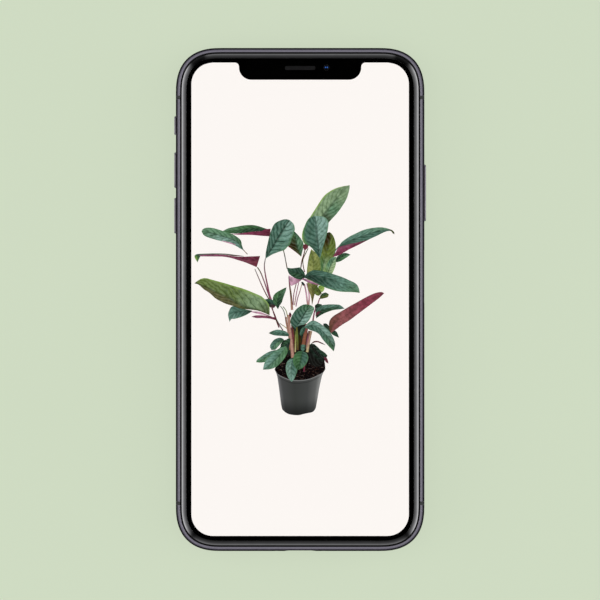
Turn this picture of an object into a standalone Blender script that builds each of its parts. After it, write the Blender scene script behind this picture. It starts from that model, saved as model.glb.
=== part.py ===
"""A slab smartphone with a notched display, lying on its back with the display facing +Z.

The top edge of the phone points to +Y, and +X is the right-hand side seen from the front.
The origin lies under the middle of the body, on the surface that the camera surround rests on.
Sizes and places are in millimetres, and the helpers turn them into metres as they build.
"""

import math

import bmesh
import bpy

MM = 0.001

# Body
BODY_WIDTH = 70.9
BODY_LENGTH = 143.5
BODY_THICKNESS = 7.7
CAMERA_BUMP = 1.0
BACK = CAMERA_BUMP
MID = BACK + BODY_THICKNESS / 2
FRONT = BACK + BODY_THICKNESS
HALF_WIDTH = BODY_WIDTH / 2
HALF_LENGTH = BODY_LENGTH / 2

# The body's corners are superellipses. They start this far from where its sides would cross
CORNER_REACH = 13.0
CORNER_EXPONENT = 2.5
CORNER_STEPS = 8

# Band: a round-sided metal rail. Depths are measured inwards from its widest line
BAND_RADIUS = 4.67
BAND_ARC_STEPS = 8
LIP_DEPTH = 1.2
WALL_DEPTH = 2.7
CARRIER_LEDGE = 6.2
REAR_LEDGE = 2.0
BREAK_UPPER_Y = 57.6
BREAK_LOWER_Y = -58.1
BREAK_WIDTH = 1.0
BREAK_GAP = 0.04
INNER_X = HALF_WIDTH - WALL_DEPTH
INNER_Y = HALF_LENGTH - WALL_DEPTH

# Cover glass and rear glass, with an edge that curves away through a range of slopes
GLASS_THICKNESS = 0.9
FRONT_EDGE_DEPTH = 1.5
REAR_EDGE_DEPTH = 1.3
RIM_WIDTH = 1.44
RIM_INNER_SLOPE = math.radians(8)
RIM_OUTER_SLOPE = math.radians(45)
RIM_STEPS = 4

# Display stack. The carrier's section is given as (depth, level) points
CARRIER_SECTION = ((1.25, 6.3), (3.8, 6.3), (3.8, 7.7), (1.46, 7.7), (1.46, 7.92), (1.25, 7.92))
PANEL_DEPTH = 3.9
PANEL_LEVELS = (6.9, 7.7)
PANEL_NOTCH_HALF_WIDTH = 16.9
PANEL_NOTCH_Y = 63.2
PANEL_NOTCH_RADIUS = 3.0
SHIELD_LEVELS = (6.5, 6.82)
SHIELD_DEPTH = 4.05
SHIELD_TOP_Y = 60.8

# Chassis, with the charging coil in its opening and a ferrite sheet over both
CHASSIS_LEVELS = (2.1, 2.5)
CHASSIS_GAP = 0.1
COIL_CENTRE = (0, -8.0)
COIL_LEVELS = (2.0, 2.45)
COIL_INNER = 10.5
COIL_OUTER = 21.5
COIL_HOLE = 22.5
FERRITE_RADIUS = 23.5
FERRITE_LEVELS = (2.55, 2.8)

# Battery cells, as limits in X and in Y
CELL_LEVELS = (2.9, 6.1)
CELLS = {
    "battery_long_cell": ((-30.0, 8.3), (-24.0, 44.0)),
    "battery_short_cell": ((-30.0, 31.6), (-44.2, -24.4)),
}

# Logic board, and its lids as limits in X and in Y and the level of the top
BOARD_CENTRE = (20.4, 7.25)
BOARD_SIZE = (22.4, 61.5)
BOARD_LEVELS = (2.9, 3.7)
BOARD_SCREWS = ((12.5, 15.35), (30.4, 15.2), (25.0, -5.5))
BOARD_SCREW_HOLE = 0.75
LID_LOW = BOARD_LEVELS[1] + 0.1
LIDS = {
    "processor_shield": ((10.0, 30.3), (17.5, 37.2), 5.6),
    "radio_shield": ((10.0, 17.2), (-8.5, 13.2), 5.2),
    "power_shield": ((10.0, 31.5), (-22.5, -10.0), 5.4),
}

# Rear cameras, one at each end of a pill-shaped surround
TRIM_CENTRE = (25.4, 53.0)
TRIM_SIZE = (12.0, 25.5)
TRIM_LEVELS = (0.0, 0.95)
NECK_SIZE = (10.9, 24.4)
NECK_LEVELS = (0.6, 2.45)
NECK_HOLE_SIZE = (11.2, 24.7)
CAMERA_SPACING = 12.8
LENS_HOLE_RADIUS = 4.3
LENS_COVER_LEVELS = (0.15, 0.75)
FLASH_HOLE_RADIUS = 1.5
FLASH_LEVELS = (0.15, 2.2)
CAMERA_SIDE = 8.6
CAMERA_LEVELS = (2.6, 6.2)
BARREL_RADIUS = 3.8
BARREL_LEVELS = (0.85, 3.4)
BRACKET_SIZE = (12.4, 28.5)
BRACKET_HOLE_SIZE = (9.0, 21.8)
BRACKET_LEVELS = (2.6, 3.4)

# Sensors behind the notch, as limits in X, Y and Z
EAR_Y = 66.03
EAR_SLOT = (8.84, 1.27)
EAR_MESH = (8.62, 1.05)
EAR_MESH_LEVELS = (7.1, FRONT - 0.25)
SENSOR_BRACKET = ((-17.0, 17.0), (62.8, 68.7), (4.6, 5.0))
SENSOR_BLOCKS = {
    "earpiece_receiver": ((-4.9, 4.9), (63.4, 67.8), (5.1, 7.0)),
    "dot_projector": ((11.6, 15.6), (64.3, 67.8), (5.1, 7.2)),
    "proximity_sensor": ((-8.8, -6.1), (64.9, 67.3), (5.1, 7.1)),
}
SENSOR_CAMERAS = {"front_camera": (7.52, 66.1, 5.1), "infrared_camera": (-12.6, 66.1, 5.1)}

# Keys. A key's cap stands proud of the band, and its flange holds it inside the wall
KEY_PROUD = 0.45
KEY_HEIGHT = 2.0
FLANGE_DEPTHS = (2.8, 3.2)
FLANGE_HEIGHT = 2.6
FLANGE_SPREAD = 1.4
SIDE_KEY = (30.4, 16.2)
VOLUME_KEYS = {"volume_up": (36.9, 10.2), "volume_down": (23.9, 10.2)}
CONTACT_DEPTHS = (3.55, 4.85)
CONTACT_REACH = 0.38
SIDE_CONTACT_LEVELS = (3.8, 5.75)
VOLUME_CONTACT_LEVELS = (2.6, 5.75)

# Mute switch, a small lever that slides down in a taller slot
LEVER_Y = 49.6
LEVER_SIZE = (5.4, 1.5)
LEVER_REST_Z = 5.1
LEVER_FLANGE_SIZE = (6.4, 1.9)
LEVER_SLOT_Z = 4.65
LEVER_SLOT_SIZE = (5.8, 2.6)
LEVER_SLOT_RADIUS = 0.9
LEVER_BASE = ((-32.65, -30.2), (45.2, 54.0), (2.7, 6.2))
LEVER_POCKET = ((-33.0, -31.9), (45.9, 53.3), (3.1, 6.3))

# Card tray, its card, and the reader that they slide into
TRAY_Y = 6.5
TRAY_DOOR = (15.0, 1.8)
TRAY_DOOR_LEVELS = (INNER_X + 0.3, HALF_WIDTH - 0.03)
TRAY_ARM = ((19.4, INNER_X + 0.9), (0.7, 11.7), (4.45, 5.25))
TRAY_POCKET = ((20.0, 32.4), (1.75, 10.65), (4.55, 6.0))
PHONE_CARD = ((20.05, 32.35), (1.8, 10.6), (4.6, 5.23))
EJECT_HOLE = (12.7, MID)
EJECT_RADIUS = 0.45
READER = ((17.9, 32.5), (-0.6, 13.0), (3.8, 5.75))
READER_SLOT = ((18.9, 34.0), (0.2, 12.2), (4.1, 5.5))

# Bottom end: charge port, sound holes and screws
PORT_Z = 4.45
PORT_SIZE = (9.0, 3.0)
PORT_WALL = 0.28
PORT_LIMITS = (-71.4, -63.6)
PORT_INSIDE_END = -64.3
TONGUE = ((-3.35, 3.35), (-70.9, -64.4), (PORT_Z - 0.35, PORT_Z + 0.35))
SCREW_X = 6.7
SCREW_Y = -67.55
SCREW_HOLE_RADIUS = 0.9
HOLE_FIRST_X = 10.6
HOLE_PITCH = 2.0
HOLE_COUNT = 6
HOLE_RADIUS = 0.65
MESH_X = (9.6, 21.6)
MESH_Y = (-68.95, -68.65)
MESH_LEVELS = (3.5, 5.4)
FLEX = ((-28.0, 28.0), (-62.0, -46.0), (2.6, 2.8))
HAPTIC_MOTOR = ((-29.0, -5.8), (-58.5, -46.0), (2.9, 6.0))
LOUDSPEAKER = ((7.9, 24.5), (-68.45, -46.0), (2.9, 6.0))

# Turned pieces, as (radius, height) points that run down the outer side
BOARD_SCREW_PROFILE = ((0, 1.7), (0.9, 1.7), (1.15, 1.5), (1.15, 1.2), (0.6, 1.2), (0.6, 0), (0, 0))
BOARD_SCREW_FOOT = 2.6
END_SCREW_PROFILE = ((0, 4.0), (0.6, 4.0), (0.8, 3.85), (0.8, 3.0), (0.6, 2.9), (0.6, 0), (0, 0))
SENSOR_PROFILE = ((0, 2.55), (1.4, 2.55), (1.6, 2.35), (1.6, 1.1), (2.2, 1.1), (2.3, 1.0), (2.3, 0), (0, 0))

# The gap all round a piece that sits in a hole
FIT_GAP = 0.1
# How far a hole's cutter reaches past the wall that it goes through
OVERSHOOT = 1.0
# How a flat outline is turned so that it faces along each axis
PLATE_TURNS = {"z": (0, 0, 0), "x": (math.pi / 2, 0, math.pi / 2), "y": (math.pi / 2, 0, 0)}

# Each finish: its colour, metallic value and roughness
FINISHES = {
    "graphite_steel": ((0.20, 0.20, 0.22), 1.0, 0.28),
    "dark_plastic": ((0.02, 0.02, 0.022), 0.0, 0.5),
    "cover_glass": ((0.03, 0.03, 0.035), 0.0, 0.05),
    "rear_glass": ((0.05, 0.05, 0.055), 0.0, 0.08),
    "lens_glass": ((0.01, 0.012, 0.03), 0.0, 0.02),
    "display": ((0.95, 0.92, 0.89), 0.0, 0.2),
    "plain_steel": ((0.6, 0.6, 0.6), 1.0, 0.35),
    "battery_wrap": ((0.04, 0.04, 0.045), 0.0, 0.6),
    "circuit_board": ((0.02, 0.05, 0.12), 0.0, 0.5),
    "copper": ((0.75, 0.38, 0.2), 1.0, 0.35),
    "ferrite": ((0.1, 0.1, 0.1), 0.0, 0.7),
    "woven_steel": ((0.1, 0.1, 0.11), 1.0, 0.5),
    "card_plastic": ((0.9, 0.88, 0.8), 0.0, 0.4),
}


def clear_scene():
    for old in list(bpy.data.objects):
        bpy.data.objects.remove(old)


def collection(name):
    made = bpy.data.collections.new(name)
    bpy.context.scene.collection.children.link(made)
    return made


def finish(name):
    """The finish's material, made once."""
    made = bpy.data.materials.get(name)
    if made is None:
        colour, metallic, roughness = FINISHES[name]
        made = bpy.data.materials.new(name)
        made.use_nodes = True
        shader = made.node_tree.nodes["Principled BSDF"]
        shader.inputs["Base Color"].default_value = (*colour, 1)
        shader.inputs["Metallic"].default_value = metallic
        shader.inputs["Roughness"].default_value = roughness
    return made


def hide(helper):
    """Marks an object that only shapes others."""
    helper.hide_render = True
    helper.display_type = "WIRE"


def add(name, data, finish_name=None):
    """A new object: a part of the phone if it has a finish, and otherwise a cutter."""
    made = bpy.data.objects.new(name, data)
    if finish_name:
        phone.objects.link(made)
        data.materials.append(finish(finish_name))
    else:
        cutters.objects.link(made)
        hide(made)
    return made


def body_corner(turn, depth):
    """One corner of the body's outline, anticlockwise and drawn in by depth. Turn counts from +X +Y."""
    points = []
    for step in range(CORNER_STEPS + 1):
        normal = math.pi / 2 * step / CORNER_STEPS
        # The superellipse's own parameter at the point where its normal has this angle
        bend = CORNER_EXPONENT / (2 * (CORNER_EXPONENT - 1))
        parameter = math.atan2(math.sin(normal) ** bend, max(0.0, math.cos(normal)) ** bend)
        reach_x = CORNER_REACH * max(0.0, math.cos(parameter)) ** (2 / CORNER_EXPONENT)
        reach_y = CORNER_REACH * math.sin(parameter) ** (2 / CORNER_EXPONENT)
        x = HALF_WIDTH - CORNER_REACH + reach_x - depth * math.cos(normal)
        y = HALF_LENGTH - CORNER_REACH + reach_y - depth * math.sin(normal)
        points.append((x, y))
    if turn in (1, 3):
        points.reverse()
    sign_x = 1 if turn in (0, 3) else -1
    sign_y = 1 if turn in (0, 1) else -1
    return [(sign_x * x, sign_y * y) for x, y in points]


def body_outline(depth):
    """The body's outline, anticlockwise and drawn in by depth."""
    return [point for turn in range(4) for point in body_corner(turn, depth)]


def arc(centre, radius, start, end, steps):
    """Points on an arc, with its angles counted in quarter turns."""
    angles = [math.pi / 2 * (start + (end - start) * step / steps) for step in range(steps + 1)]
    return [(centre[0] + radius * math.cos(a), centre[1] + radius * math.sin(a)) for a in angles]


def circle(centre, radius, count=24):
    return arc(centre, radius, 0, 4, count)[:-1]


def rounded_box(centre, size, radius, steps=3):
    """A rectangle with round corners, anticlockwise."""
    points = []
    for turn, (sign_x, sign_y) in enumerate(((1, 1), (-1, 1), (-1, -1), (1, -1))):
        x = centre[0] + sign_x * (size[0] / 2 - radius)
        y = centre[1] + sign_y * (size[1] / 2 - radius)
        points += arc((x, y), radius, turn, turn + 1, steps)
    return points


def pill(size, centre=(0, 0), grow=0.0, steps=5):
    """A rectangle whose short sides are all but half circles, made larger all round by grow."""
    grown = (size[0] + 2 * grow, size[1] + 2 * grow)
    return rounded_box(centre, grown, min(grown) * 0.4995, steps)


def outline_curve(name, outlines):
    """A flat curve with one closed, straight-edged spline for each outline."""
    curve = bpy.data.curves.new(name, "CURVE")
    curve.dimensions = "2D"
    for outline in outlines:
        spline = curve.splines.new("POLY")
        spline.points.add(len(outline) - 1)
        for point, (x, y) in zip(spline.points, outline):
            point.co = (x * MM, y * MM, 0, 1)
        spline.use_cyclic_u = True
    return curve


def plate(name, finish_name, outlines, levels, facing="z", centre=(0, 0)):
    """A flat piece between two levels, in XY, or in YZ where it faces x, or in XZ where it faces y."""
    curve = outline_curve(name, outlines)
    curve.fill_mode = "BOTH"
    curve.extrude = (levels[1] - levels[0]) / 2 * MM
    made = add(name, curve, finish_name)
    place = list(centre)
    place.insert("xyz".index(facing), sum(levels) / 2)
    made.location = [value * MM for value in place]
    made.rotation_euler = PLATE_TURNS[facing]
    return made


def as_mesh(source):
    """Turns a curve object into a closed mesh object of the same name, in the same place."""
    bpy.context.view_layer.update()
    graph = bpy.context.evaluated_depsgraph_get()
    mesh = bpy.data.meshes.new_from_object(source.evaluated_get(graph))
    name = source.name
    home = source.users_collection[0]
    place = source.matrix_world.copy()
    helper = source.hide_render
    bpy.data.objects.remove(source)
    work = bmesh.new()
    work.from_mesh(mesh)
    bmesh.ops.remove_doubles(work, verts=work.verts, dist=0.0005 * MM)
    bmesh.ops.recalc_face_normals(work, faces=work.faces)
    work.to_mesh(mesh)
    work.free()
    made = bpy.data.objects.new(name, mesh)
    home.objects.link(made)
    made.matrix_world = place
    if helper:
        hide(made)
    return made


def sweep(name, finish_name, path, profile, closed):
    """Runs a profile of (depth, level) points along an anticlockwise path. Depth is measured inwards."""
    inwards = 1 if closed else -1
    shape = add(name + "_profile", outline_curve(name, [[(inwards * d, level) for d, level in profile]]))
    curve = outline_curve(name, [path])
    curve.splines[0].use_cyclic_u = closed
    curve.bevel_mode = "OBJECT"
    curve.bevel_object = shape
    curve.use_fill_caps = not closed
    made = as_mesh(add(name, curve, finish_name))
    bpy.data.objects.remove(shape)
    return made


def box(name, finish_name, limits, eased=0.0):
    """A block between its limits on X, Y and Z, with its edges eased where that is set."""
    mesh = bpy.data.meshes.new(name)
    work = bmesh.new()
    bmesh.ops.create_cube(work, size=1)
    for vertex in work.verts:
        for axis, (low, high) in enumerate(limits):
            vertex.co[axis] *= (high - low) * MM
    work.to_mesh(mesh)
    work.free()
    made = add(name, mesh, finish_name)
    made.location = [(low + high) / 2 * MM for low, high in limits]
    if eased:
        ease(made, eased)
    return made


def ease(made, width):
    """Rounds the sharp edges of a piece."""
    rounding = made.modifiers.new("eased edges", "BEVEL")
    rounding.width = width * MM
    rounding.segments = 2
    rounding.limit_method = "ANGLE"
    rounding.angle_limit = math.radians(50)
    return made


def cylinder(name, finish_name, centre, radius, levels, axis="z", count=24):
    """A round piece between two levels on an axis. Centre gives the other two coordinates in order."""
    mesh = bpy.data.meshes.new(name)
    work = bmesh.new()
    depth = (levels[1] - levels[0]) * MM
    bmesh.ops.create_cone(
        work, cap_ends=True, segments=count, radius1=radius * MM, radius2=radius * MM, depth=depth
    )
    work.to_mesh(mesh)
    work.free()
    made = add(name, mesh, finish_name)
    place = list(centre)
    place.insert("xyz".index(axis), sum(levels) / 2)
    made.location = [value * MM for value in place]
    made.rotation_euler = PLATE_TURNS[axis]
    return made


def turned(name, finish_name, profile, place, standing=True, steps=12):
    """A turned piece. It stands on its place, or else lies with its head towards -Y."""
    mesh = bpy.data.meshes.new(name)
    points = [(radius * MM, 0, height * MM) for radius, height in profile]
    mesh.from_pydata(points, [(i, i + 1) for i in range(len(points) - 1)], [])
    made = add(name, mesh, finish_name)
    made.location = [value * MM for value in place]
    if not standing:
        made.rotation_euler = PLATE_TURNS["y"]
    spin = made.modifiers.new("turning", "SCREW")
    spin.steps = steps
    spin.render_steps = steps
    spin.use_merge_vertices = True
    spin.merge_threshold = 0.00001
    return made


def join(made, other):
    """Makes one body of two overlapping pieces, of which the other is a helper."""
    union = made.modifiers.new("joined to " + other.name, "BOOLEAN")
    union.operation = "UNION"
    union.object = other
    return made


def cut(made, tool):
    removal = made.modifiers.new("cut by " + tool.name, "BOOLEAN")
    removal.operation = "DIFFERENCE"
    removal.object = tool
    return made


def rail_profile():
    """The rail's section: a round outer side, and a seat for the display above and the rear glass below."""
    half_angle = math.acos(1 - LIP_DEPTH / BAND_RADIUS)
    points = []
    for step in range(BAND_ARC_STEPS + 1):
        angle = half_angle * (1 - 2 * step / BAND_ARC_STEPS)
        depth = BAND_RADIUS * (1 - math.cos(angle))
        points.append((depth, MID + BAND_RADIUS * math.sin(angle)))
    points += [(LIP_DEPTH, REAR_LEDGE), (WALL_DEPTH, REAR_LEDGE)]
    points += [(WALL_DEPTH, CARRIER_LEDGE), (LIP_DEPTH, CARRIER_LEDGE)]
    return points


def side_rail(name, finish_name, side, limits):
    """A stretch of the rail along a long side, between two limits in Y."""
    outline = [(side * (HALF_WIDTH - depth), level) for depth, level in rail_profile()]
    return as_mesh(plate(name, finish_name, [outline], limits, "y"))


def end_rail(name, turns, limit):
    """The rail round two corners of the body, as far as the breaks on both long sides."""
    corners = [point for turn in turns for point in body_corner(turn, 0)]
    first = (math.copysign(HALF_WIDTH, corners[0][0]), limit)
    last = (math.copysign(HALF_WIDTH, corners[-1][0]), limit)
    return sweep(name, "graphite_steel", [first, *corners, last], rail_profile(), closed=False)


def side_hole(name, side, y, z, outline):
    """A cutter through a long side, from an outline in Y and Z."""
    levels = sorted((side * (HALF_WIDTH + OVERSHOOT), side * (INNER_X - OVERSHOOT)))
    return as_mesh(plate(name, None, [outline], levels, "x", (y, z)))


def build_band():
    half = BREAK_WIDTH / 2
    end_rail("band_top", (0, 1), BREAK_UPPER_Y + half)
    bottom = end_rail("band_bottom", (2, 3), BREAK_LOWER_Y - half)
    rails = {}
    for side, label in ((-1, "left"), (1, "right")):
        limits = (BREAK_LOWER_Y + half, BREAK_UPPER_Y - half)
        rails[label] = side_rail("band_" + label, "graphite_steel", side, limits)
        for middle, place in ((BREAK_UPPER_Y, "upper"), (BREAK_LOWER_Y, "lower")):
            limits = (middle - half + BREAK_GAP, middle + half - BREAK_GAP)
            side_rail(f"antenna_break_{place}_{label}", "dark_plastic", side, limits)
    cut_side_holes(rails["left"], rails["right"])
    cut_bottom_holes(bottom)


def cut_side_holes(left, right):
    for name, (y, length) in VOLUME_KEYS.items():
        cut(left, side_hole(name + "_hole", -1, y, MID, pill((length, KEY_HEIGHT), grow=FIT_GAP)))
    slot = rounded_box((0, 0), LEVER_SLOT_SIZE, LEVER_SLOT_RADIUS)
    cut(left, side_hole("lever_slot", -1, LEVER_Y, LEVER_SLOT_Z, slot))
    y, length = SIDE_KEY
    cut(right, side_hole("side_key_hole", 1, y, MID, pill((length, KEY_HEIGHT), grow=FIT_GAP)))
    cut(right, side_hole("tray_hole", 1, TRAY_Y, MID, pill(TRAY_DOOR, grow=FIT_GAP)))


def cut_bottom_holes(bottom):
    levels = (-HALF_LENGTH - OVERSHOOT, -INNER_Y + OVERSHOOT)
    mouth = pill(PORT_SIZE, grow=FIT_GAP)
    cut(bottom, as_mesh(plate("port_hole", None, [mouth], levels, "y", (0, PORT_Z))))
    for side, label in ((-1, "left"), (1, "right")):
        centre = (side * SCREW_X, PORT_Z)
        cut(bottom, cylinder(f"screw_hole_{label}", None, centre, SCREW_HOLE_RADIUS, levels, "y", 16))
        for index in range(HOLE_COUNT):
            centre = (side * (HOLE_FIRST_X + index * HOLE_PITCH), PORT_Z)
            name = f"sound_hole_{label}_{index + 1}"
            cut(bottom, cylinder(name, None, centre, HOLE_RADIUS, levels, "y", 10))


def rim_point(slope):
    """How far in and how far up the glass's curved edge is where it has this slope."""
    radius = RIM_WIDTH / (math.sin(RIM_OUTER_SLOPE) - math.sin(RIM_INNER_SLOPE))
    inwards = radius * (math.sin(RIM_OUTER_SLOPE) - math.sin(slope))
    upwards = radius * (math.cos(slope) - math.cos(RIM_OUTER_SLOPE))
    return inwards, upwards


def curved_glass(name, edge_depth, face_level, inner_level):
    """A sheet with a flat inner face, and an outer face that slopes away towards its edge."""
    rim_height = math.copysign(rim_point(RIM_INNER_SLOPE)[1], face_level - inner_level)
    work = bmesh.new()
    outline = body_outline(edge_depth)
    inner = work.faces.new([work.verts.new((x * MM, y * MM, inner_level * MM)) for x, y in outline])
    raised = bmesh.ops.extrude_face_region(work, geom=[inner], use_keep_orig=True)["geom"]
    wall_height = face_level - rim_height - inner_level
    lifted = [item for item in raised if isinstance(item, bmesh.types.BMVert)]
    bmesh.ops.translate(work, verts=lifted, vec=(0, 0, wall_height * MM))
    bmesh.ops.recalc_face_normals(work, faces=work.faces)
    face = next(item for item in raised if isinstance(item, bmesh.types.BMFace))
    last_in, last_up = 0.0, 0.0
    for step in range(1, RIM_STEPS + 1):
        slope = RIM_OUTER_SLOPE + (RIM_INNER_SLOPE - RIM_OUTER_SLOPE) * step / RIM_STEPS
        inwards, upwards = rim_point(slope)
        width, rise = (inwards - last_in) * MM, (upwards - last_up) * MM
        bmesh.ops.inset_region(work, faces=[face], thickness=width, depth=rise, use_even_offset=True)
        last_in, last_up = inwards, upwards
    mesh = bpy.data.meshes.new(name)
    work.to_mesh(mesh)
    work.free()
    return add(name, mesh, name)


def build_glass():
    front = curved_glass("cover_glass", FRONT_EDGE_DEPTH, FRONT, FRONT - GLASS_THICKNESS)
    slot = pill(EAR_SLOT, (0, EAR_Y))
    cut(front, as_mesh(plate("ear_slot", None, [slot], (FRONT - 2 * OVERSHOOT, FRONT + OVERSHOOT))))
    plate("earpiece_mesh", "woven_steel", [pill(EAR_MESH, (0, EAR_Y))], EAR_MESH_LEVELS)
    rear = curved_glass("rear_glass", REAR_EDGE_DEPTH, BACK, BACK + GLASS_THICKNESS)
    hole = pill(NECK_HOLE_SIZE, TRIM_CENTRE)
    cut(rear, as_mesh(plate("trim_hole", None, [hole], (BACK - OVERSHOOT, BACK + 2 * OVERSHOOT))))


def panel_outline():
    """The panel's outline, with the notch for the sensors cut into its top edge."""
    right_corner = body_corner(0, PANEL_DEPTH)
    top = right_corner[-1][1]
    half, radius = PANEL_NOTCH_HALF_WIDTH, PANEL_NOTCH_RADIUS
    centre_x, centre_y = half - radius, PANEL_NOTCH_Y + radius
    points = right_corner + [(half, top)]
    points += arc((centre_x, centre_y), radius, 0, -1, 4)
    points += arc((-centre_x, centre_y), radius, -1, -2, 4)
    points.append((-half, top))
    for turn in (1, 2, 3):
        points += body_corner(turn, PANEL_DEPTH)
    return points


def build_display():
    sweep("display_carrier", "dark_plastic", body_outline(0), CARRIER_SECTION, closed=True)
    plate("display_panel", "display", [panel_outline()], PANEL_LEVELS)
    lower_corners = body_corner(2, SHIELD_DEPTH) + body_corner(3, SHIELD_DEPTH)
    side_x = HALF_WIDTH - SHIELD_DEPTH
    shield = [(side_x, SHIELD_TOP_Y), (-side_x, SHIELD_TOP_Y), *lower_corners]
    plate("display_shield", "plain_steel", [shield], SHIELD_LEVELS)


def build_chassis():
    camera_hole = pill(NECK_HOLE_SIZE, TRIM_CENTRE, grow=CHASSIS_GAP)
    coil_hole = circle(COIL_CENTRE, COIL_HOLE, 36)
    outer = body_outline(WALL_DEPTH + CHASSIS_GAP)
    plate("chassis_plate", "plain_steel", [outer, camera_hole, coil_hole], CHASSIS_LEVELS)
    ring = [circle(COIL_CENTRE, COIL_OUTER, 36), circle(COIL_CENTRE, COIL_INNER, 36)]
    plate("charging_coil", "copper", ring, COIL_LEVELS)
    plate("ferrite_sheet", "ferrite", [circle(COIL_CENTRE, FERRITE_RADIUS, 36)], FERRITE_LEVELS)


def build_battery():
    for name, limits in CELLS.items():
        box(name, "battery_wrap", (*limits, CELL_LEVELS), 0.6)


def build_logic_board():
    outline = rounded_box(BOARD_CENTRE, BOARD_SIZE, 0.8)
    holes = [circle(place, BOARD_SCREW_HOLE, 12) for place in BOARD_SCREWS]
    plate("logic_board", "circuit_board", [outline, *holes], BOARD_LEVELS)
    for name, (x, y, top) in LIDS.items():
        box(name, "plain_steel", (x, y, (LID_LOW, top)), 0.25)
    for index, (x, y) in enumerate(BOARD_SCREWS, 1):
        turned(f"board_screw_{index}", "plain_steel", BOARD_SCREW_PROFILE, (x, y, BOARD_SCREW_FOOT))


def build_rear_cameras():
    flange = plate("camera_trim", "graphite_steel", [pill(TRIM_SIZE, TRIM_CENTRE, steps=8)], TRIM_LEVELS)
    trim = ease(as_mesh(flange), 0.25)
    neck = plate("trim_neck", None, [pill(NECK_SIZE, TRIM_CENTRE, steps=8)], NECK_LEVELS)
    join(trim, as_mesh(neck))
    through = (TRIM_LEVELS[0] - OVERSHOOT, NECK_LEVELS[1] + OVERSHOOT)
    cut(trim, cylinder("flash_bore", None, TRIM_CENTRE, FLASH_HOLE_RADIUS, through, count=16))
    flash_radius = FLASH_HOLE_RADIUS - FIT_GAP
    cylinder("flash_lens", "cover_glass", TRIM_CENTRE, flash_radius, FLASH_LEVELS, count=16)
    for side, label in ((1, "wide"), (-1, "tele")):
        x, y = TRIM_CENTRE[0], TRIM_CENTRE[1] + side * CAMERA_SPACING / 2
        cut(trim, cylinder(label + "_bore", None, (x, y), LENS_HOLE_RADIUS, through))
        cover_radius = LENS_HOLE_RADIUS - FIT_GAP
        cylinder(label + "_lens_cover", "lens_glass", (x, y), cover_radius, LENS_COVER_LEVELS)
        half = CAMERA_SIDE / 2
        limits = ((x - half, x + half), (y - half, y + half), CAMERA_LEVELS)
        camera = box(label + "_camera", "dark_plastic", limits, 0.3)
        join(camera, cylinder(label + "_barrel", None, (x, y), BARREL_RADIUS, BARREL_LEVELS))
    bracket = [rounded_box(TRIM_CENTRE, BRACKET_SIZE, 3.0), rounded_box(TRIM_CENTRE, BRACKET_HOLE_SIZE, 0.8)]
    plate("camera_bracket", "plain_steel", bracket, BRACKET_LEVELS)


def build_front_sensors():
    box("sensor_bracket", "plain_steel", SENSOR_BRACKET)
    for name, limits in SENSOR_BLOCKS.items():
        box(name, "dark_plastic", limits, 0.2)
    for name, place in SENSOR_CAMERAS.items():
        turned(name, "dark_plastic", SENSOR_PROFILE, place, steps=20)


def key(name, side, place, size, flange_size):
    """A key at a place in Y and Z: a cap that goes through the band, with a wider flange behind the wall."""
    cap_levels = sorted((side * (HALF_WIDTH + KEY_PROUD), side * (HALF_WIDTH - sum(FLANGE_DEPTHS) / 2)))
    cap = ease(as_mesh(plate(name, "graphite_steel", [pill(size)], cap_levels, "x", place)), 0.3)
    flange_levels = sorted(side * (HALF_WIDTH - depth) for depth in FLANGE_DEPTHS)
    return join(cap, as_mesh(plate(name + "_flange", None, [pill(flange_size)], flange_levels, "x", place)))


def pressed_key(label, side, y, length, contact_levels):
    """A key that is pressed in, and the contact behind it."""
    key(label + "_key", side, (y, MID), (length, KEY_HEIGHT), (length + FLANGE_SPREAD, FLANGE_HEIGHT))
    x = sorted(side * (HALF_WIDTH - depth) for depth in CONTACT_DEPTHS)
    reach = length * CONTACT_REACH
    box(label + "_contact", "dark_plastic", (x, (y - reach, y + reach), contact_levels), 0.2)


def build_keys():
    pressed_key("side", 1, *SIDE_KEY, SIDE_CONTACT_LEVELS)
    for label, (y, length) in VOLUME_KEYS.items():
        pressed_key(label, -1, y, length, VOLUME_CONTACT_LEVELS)
    key("mute_switch", -1, (LEVER_Y, LEVER_REST_Z), LEVER_SIZE, LEVER_FLANGE_SIZE)
    base = box("mute_switch_base", "dark_plastic", LEVER_BASE)
    cut(base, box("lever_pocket", None, LEVER_POCKET))


def build_card_tray():
    door = plate("card_tray", "graphite_steel", [pill(TRAY_DOOR)], TRAY_DOOR_LEVELS, "x", (TRAY_Y, MID))
    tray = join(as_mesh(door), box("tray_arm", None, TRAY_ARM))
    cut(tray, box("card_pocket", None, TRAY_POCKET))
    eject_levels = (INNER_X - OVERSHOOT, HALF_WIDTH + OVERSHOOT)
    cut(tray, cylinder("eject_hole", None, EJECT_HOLE, EJECT_RADIUS, eject_levels, "x", 12))
    box("phone_card", "card_plastic", PHONE_CARD)
    reader = box("card_reader", "plain_steel", READER)
    cut(reader, box("reader_slot", None, READER_SLOT))


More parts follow.
